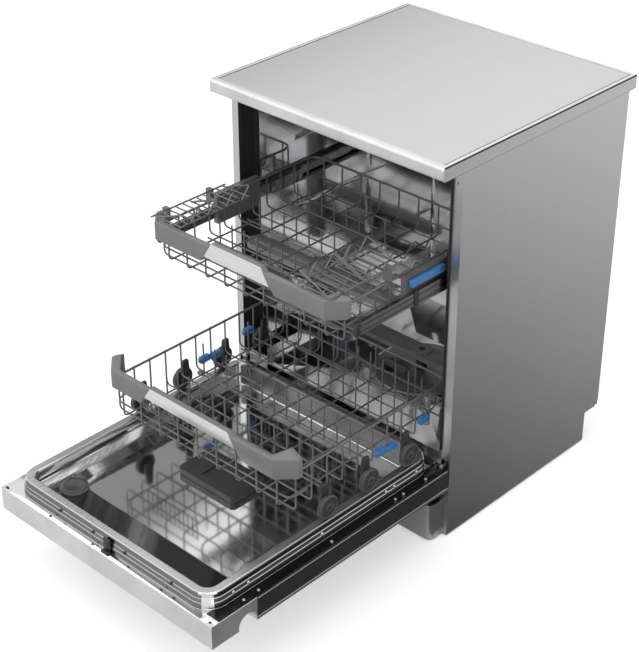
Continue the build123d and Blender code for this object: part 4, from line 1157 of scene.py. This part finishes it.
def make_lamps(key):
    """Soft round lamps that look at the racks."""
    aim = Vector((0.0, -0.05, 0.42))
    for name, place, size, power in (
            ("Key", (-1.6, -2.2, 2.9), 4.0, key), ("Top", (0.3, 0.2, 3.2), 2.6, key * 0.55),
            ("Fill", (2.9, -1.2, 1.6), 2.2, key * 0.16)):
        lamp = bpy.data.lights.new(name, "AREA")
        lamp.shape = "DISK"
        lamp.size = size
        lamp.energy = power
        add_holder(name, lamp, place, (aim - Vector(place)).to_track_quat("-Z", "Y").to_euler())


def make_camera(sizes):
    """The photograph's camera."""
    camera = bpy.data.cameras.new("Camera")
    camera.sensor_fit = "HORIZONTAL"
    camera.sensor_width = 36.0
    camera.lens = sizes.lens
    camera.clip_end = 50.0
    bpy.context.scene.camera = add_holder(
        "Camera", camera, (1.94555, -2.05986, 2.09368),
        (math.pi / 2 - sizes.elevation, 0.0, sizes.azimuth))
    bpy.context.scene.view_settings.view_transform = "Standard"


# Operators

class MakeFinishes(bpy.types.Operator):
    """Makes the machine's materials and colours the carried-over pieces"""
    bl_idname = "dishwasher.make_finishes"
    bl_label = "Finishes"

    def execute(self, context):
        FINISHES.update(make_finishes(context.scene.dishwasher_finish))
        for node, material in CARRIED_OVER:
            frame["nodes"][node].data.materials.clear()
            frame["nodes"][node].data.materials.append(FINISHES[material])
        return {"FINISHED"}


class MakeCabinet(bpy.types.Operator):
    """Makes the cabinet's sheets, the base and the back"""
    bl_idname = "dishwasher.make_cabinet"
    bl_label = "Cabinet"

    def execute(self, context):
        dress_all(CABINET_PIECES)
        top_border()
        plate_seal()
        stile_screws()
        rear_details()
        feet_detail()
        return {"FINISHED"}


class MakeTub(bpy.types.Operator):
    """Makes the tub's seal, ribs, rails, sump and spray arms"""
    bl_idname = "dishwasher.make_tub"
    bl_label = "Tub"

    def execute(self, context):
        dress_all(TUB_PIECES)
        gasket_beads()
        tub_ribs()
        nozzle_rings()
        return {"FINISHED"}


class MakeRails(bpy.types.Operator):
    """Makes the telescopic rails of the upper rack"""
    bl_idname = "dishwasher.make_rails"
    bl_label = "Rails"

    def execute(self, context):
        dress_all(RAIL_PIECES)
        rail_caps()
        rail_grooves()
        rail_painted_shade()
        return {"FINISHED"}


class MakeRacks(bpy.types.Operator):
    """Makes the two wire baskets, their handles and their fittings"""
    bl_idname = "dishwasher.make_racks"
    bl_label = "Racks"

    def execute(self, context):
        sizes = context.scene.dishwasher_rack
        upper_wires(sizes)
        lower_wires(sizes)
        rack_handles()
        dress_all(RACK_FITTINGS)
        blue_clips()
        return {"FINISHED"}


class MakeFolding(bpy.types.Operator):
    """Makes the folding prong rows and cup shelves"""
    bl_idname = "dishwasher.make_folding"
    bl_label = "Folding rows and shelves"

    def execute(self, context):
        sizes = context.scene.dishwasher_rack
        folding_rows(sizes)
        cup_shelves(sizes)
        return {"FINISHED"}


class MakeWheels(bpy.types.Operator):
    """Makes the lower rack's wheels and axle caps"""
    bl_idname = "dishwasher.make_wheels"
    bl_label = "Wheels"

    def execute(self, context):
        wheels()
        wheel_arms()
        axle_caps()
        return {"FINISHED"}


class MakeDoor(bpy.types.Operator):
    """Makes the open door with its pressed inner sheet and fittings"""
    bl_idname = "dishwasher.make_door"
    bl_label = "Door"

    def execute(self, context):
        dress_all(DOOR_PIECES)
        liner_sheet()
        vent_detail()
        lock_detail()
        door_screws()
        door_edge_trim()
        return {"FINISHED"}


class MakeStage(bpy.types.Operator):
    """Sets up the floor, the soft light and the camera"""
    bl_idname = "dishwasher.make_stage"
    bl_label = "Stage"

    def execute(self, context):
        sizes = context.scene.dishwasher_stage
        make_world(sizes.sky)
        make_floor()
        make_cards()
        make_lamps(sizes.key)
        make_camera(sizes)
        return {"FINISHED"}


class DishwasherPanel(bpy.types.Panel):
    """Lists the sizes, the colours and the steps that make the machine"""
    bl_idname = "VIEW3D_PT_dishwasher"
    bl_label = "Open dishwasher"
    bl_space_type = "VIEW_3D"
    bl_region_type = "UI"
    bl_category = "Dishwasher"

    def draw(self, context):
        for settings in (context.scene.dishwasher_finish, context.scene.dishwasher_rack,
                         context.scene.dishwasher_stage):
            column = self.layout.column()
            for label in settings.__annotations__:
                column.prop(settings, label)
        for operator in STEPS:
            self.layout.operator(operator.bl_idname)


STEPS = (MakeFinishes, MakeCabinet, MakeTub, MakeRails, MakeRacks, MakeFolding, MakeWheels,
         MakeDoor, MakeStage)
CLASSES = (FinishSizes, RackSizes, StageSizes) + STEPS + (DishwasherPanel,)


def register():
    """Registers the settings, the steps and the panel."""
    for each in CLASSES:
        bpy.utils.register_class(each)
    bpy.types.Scene.dishwasher_finish = PointerProperty(type=FinishSizes)
    bpy.types.Scene.dishwasher_rack = PointerProperty(type=RackSizes)
    bpy.types.Scene.dishwasher_stage = PointerProperty(type=StageSizes)


def unregister():
    """Removes what register added."""
    del bpy.types.Scene.dishwasher_stage
    del bpy.types.Scene.dishwasher_rack
    del bpy.types.Scene.dishwasher_finish
    for each in reversed(CLASSES):
        bpy.utils.unregister_class(each)


def main():
    """Makes the whole machine."""
    register()
    for operator in STEPS:
        group, name = operator.bl_idname.split(".")
        getattr(getattr(bpy.ops, group), name)()


if __name__ == "__main__":
    main()
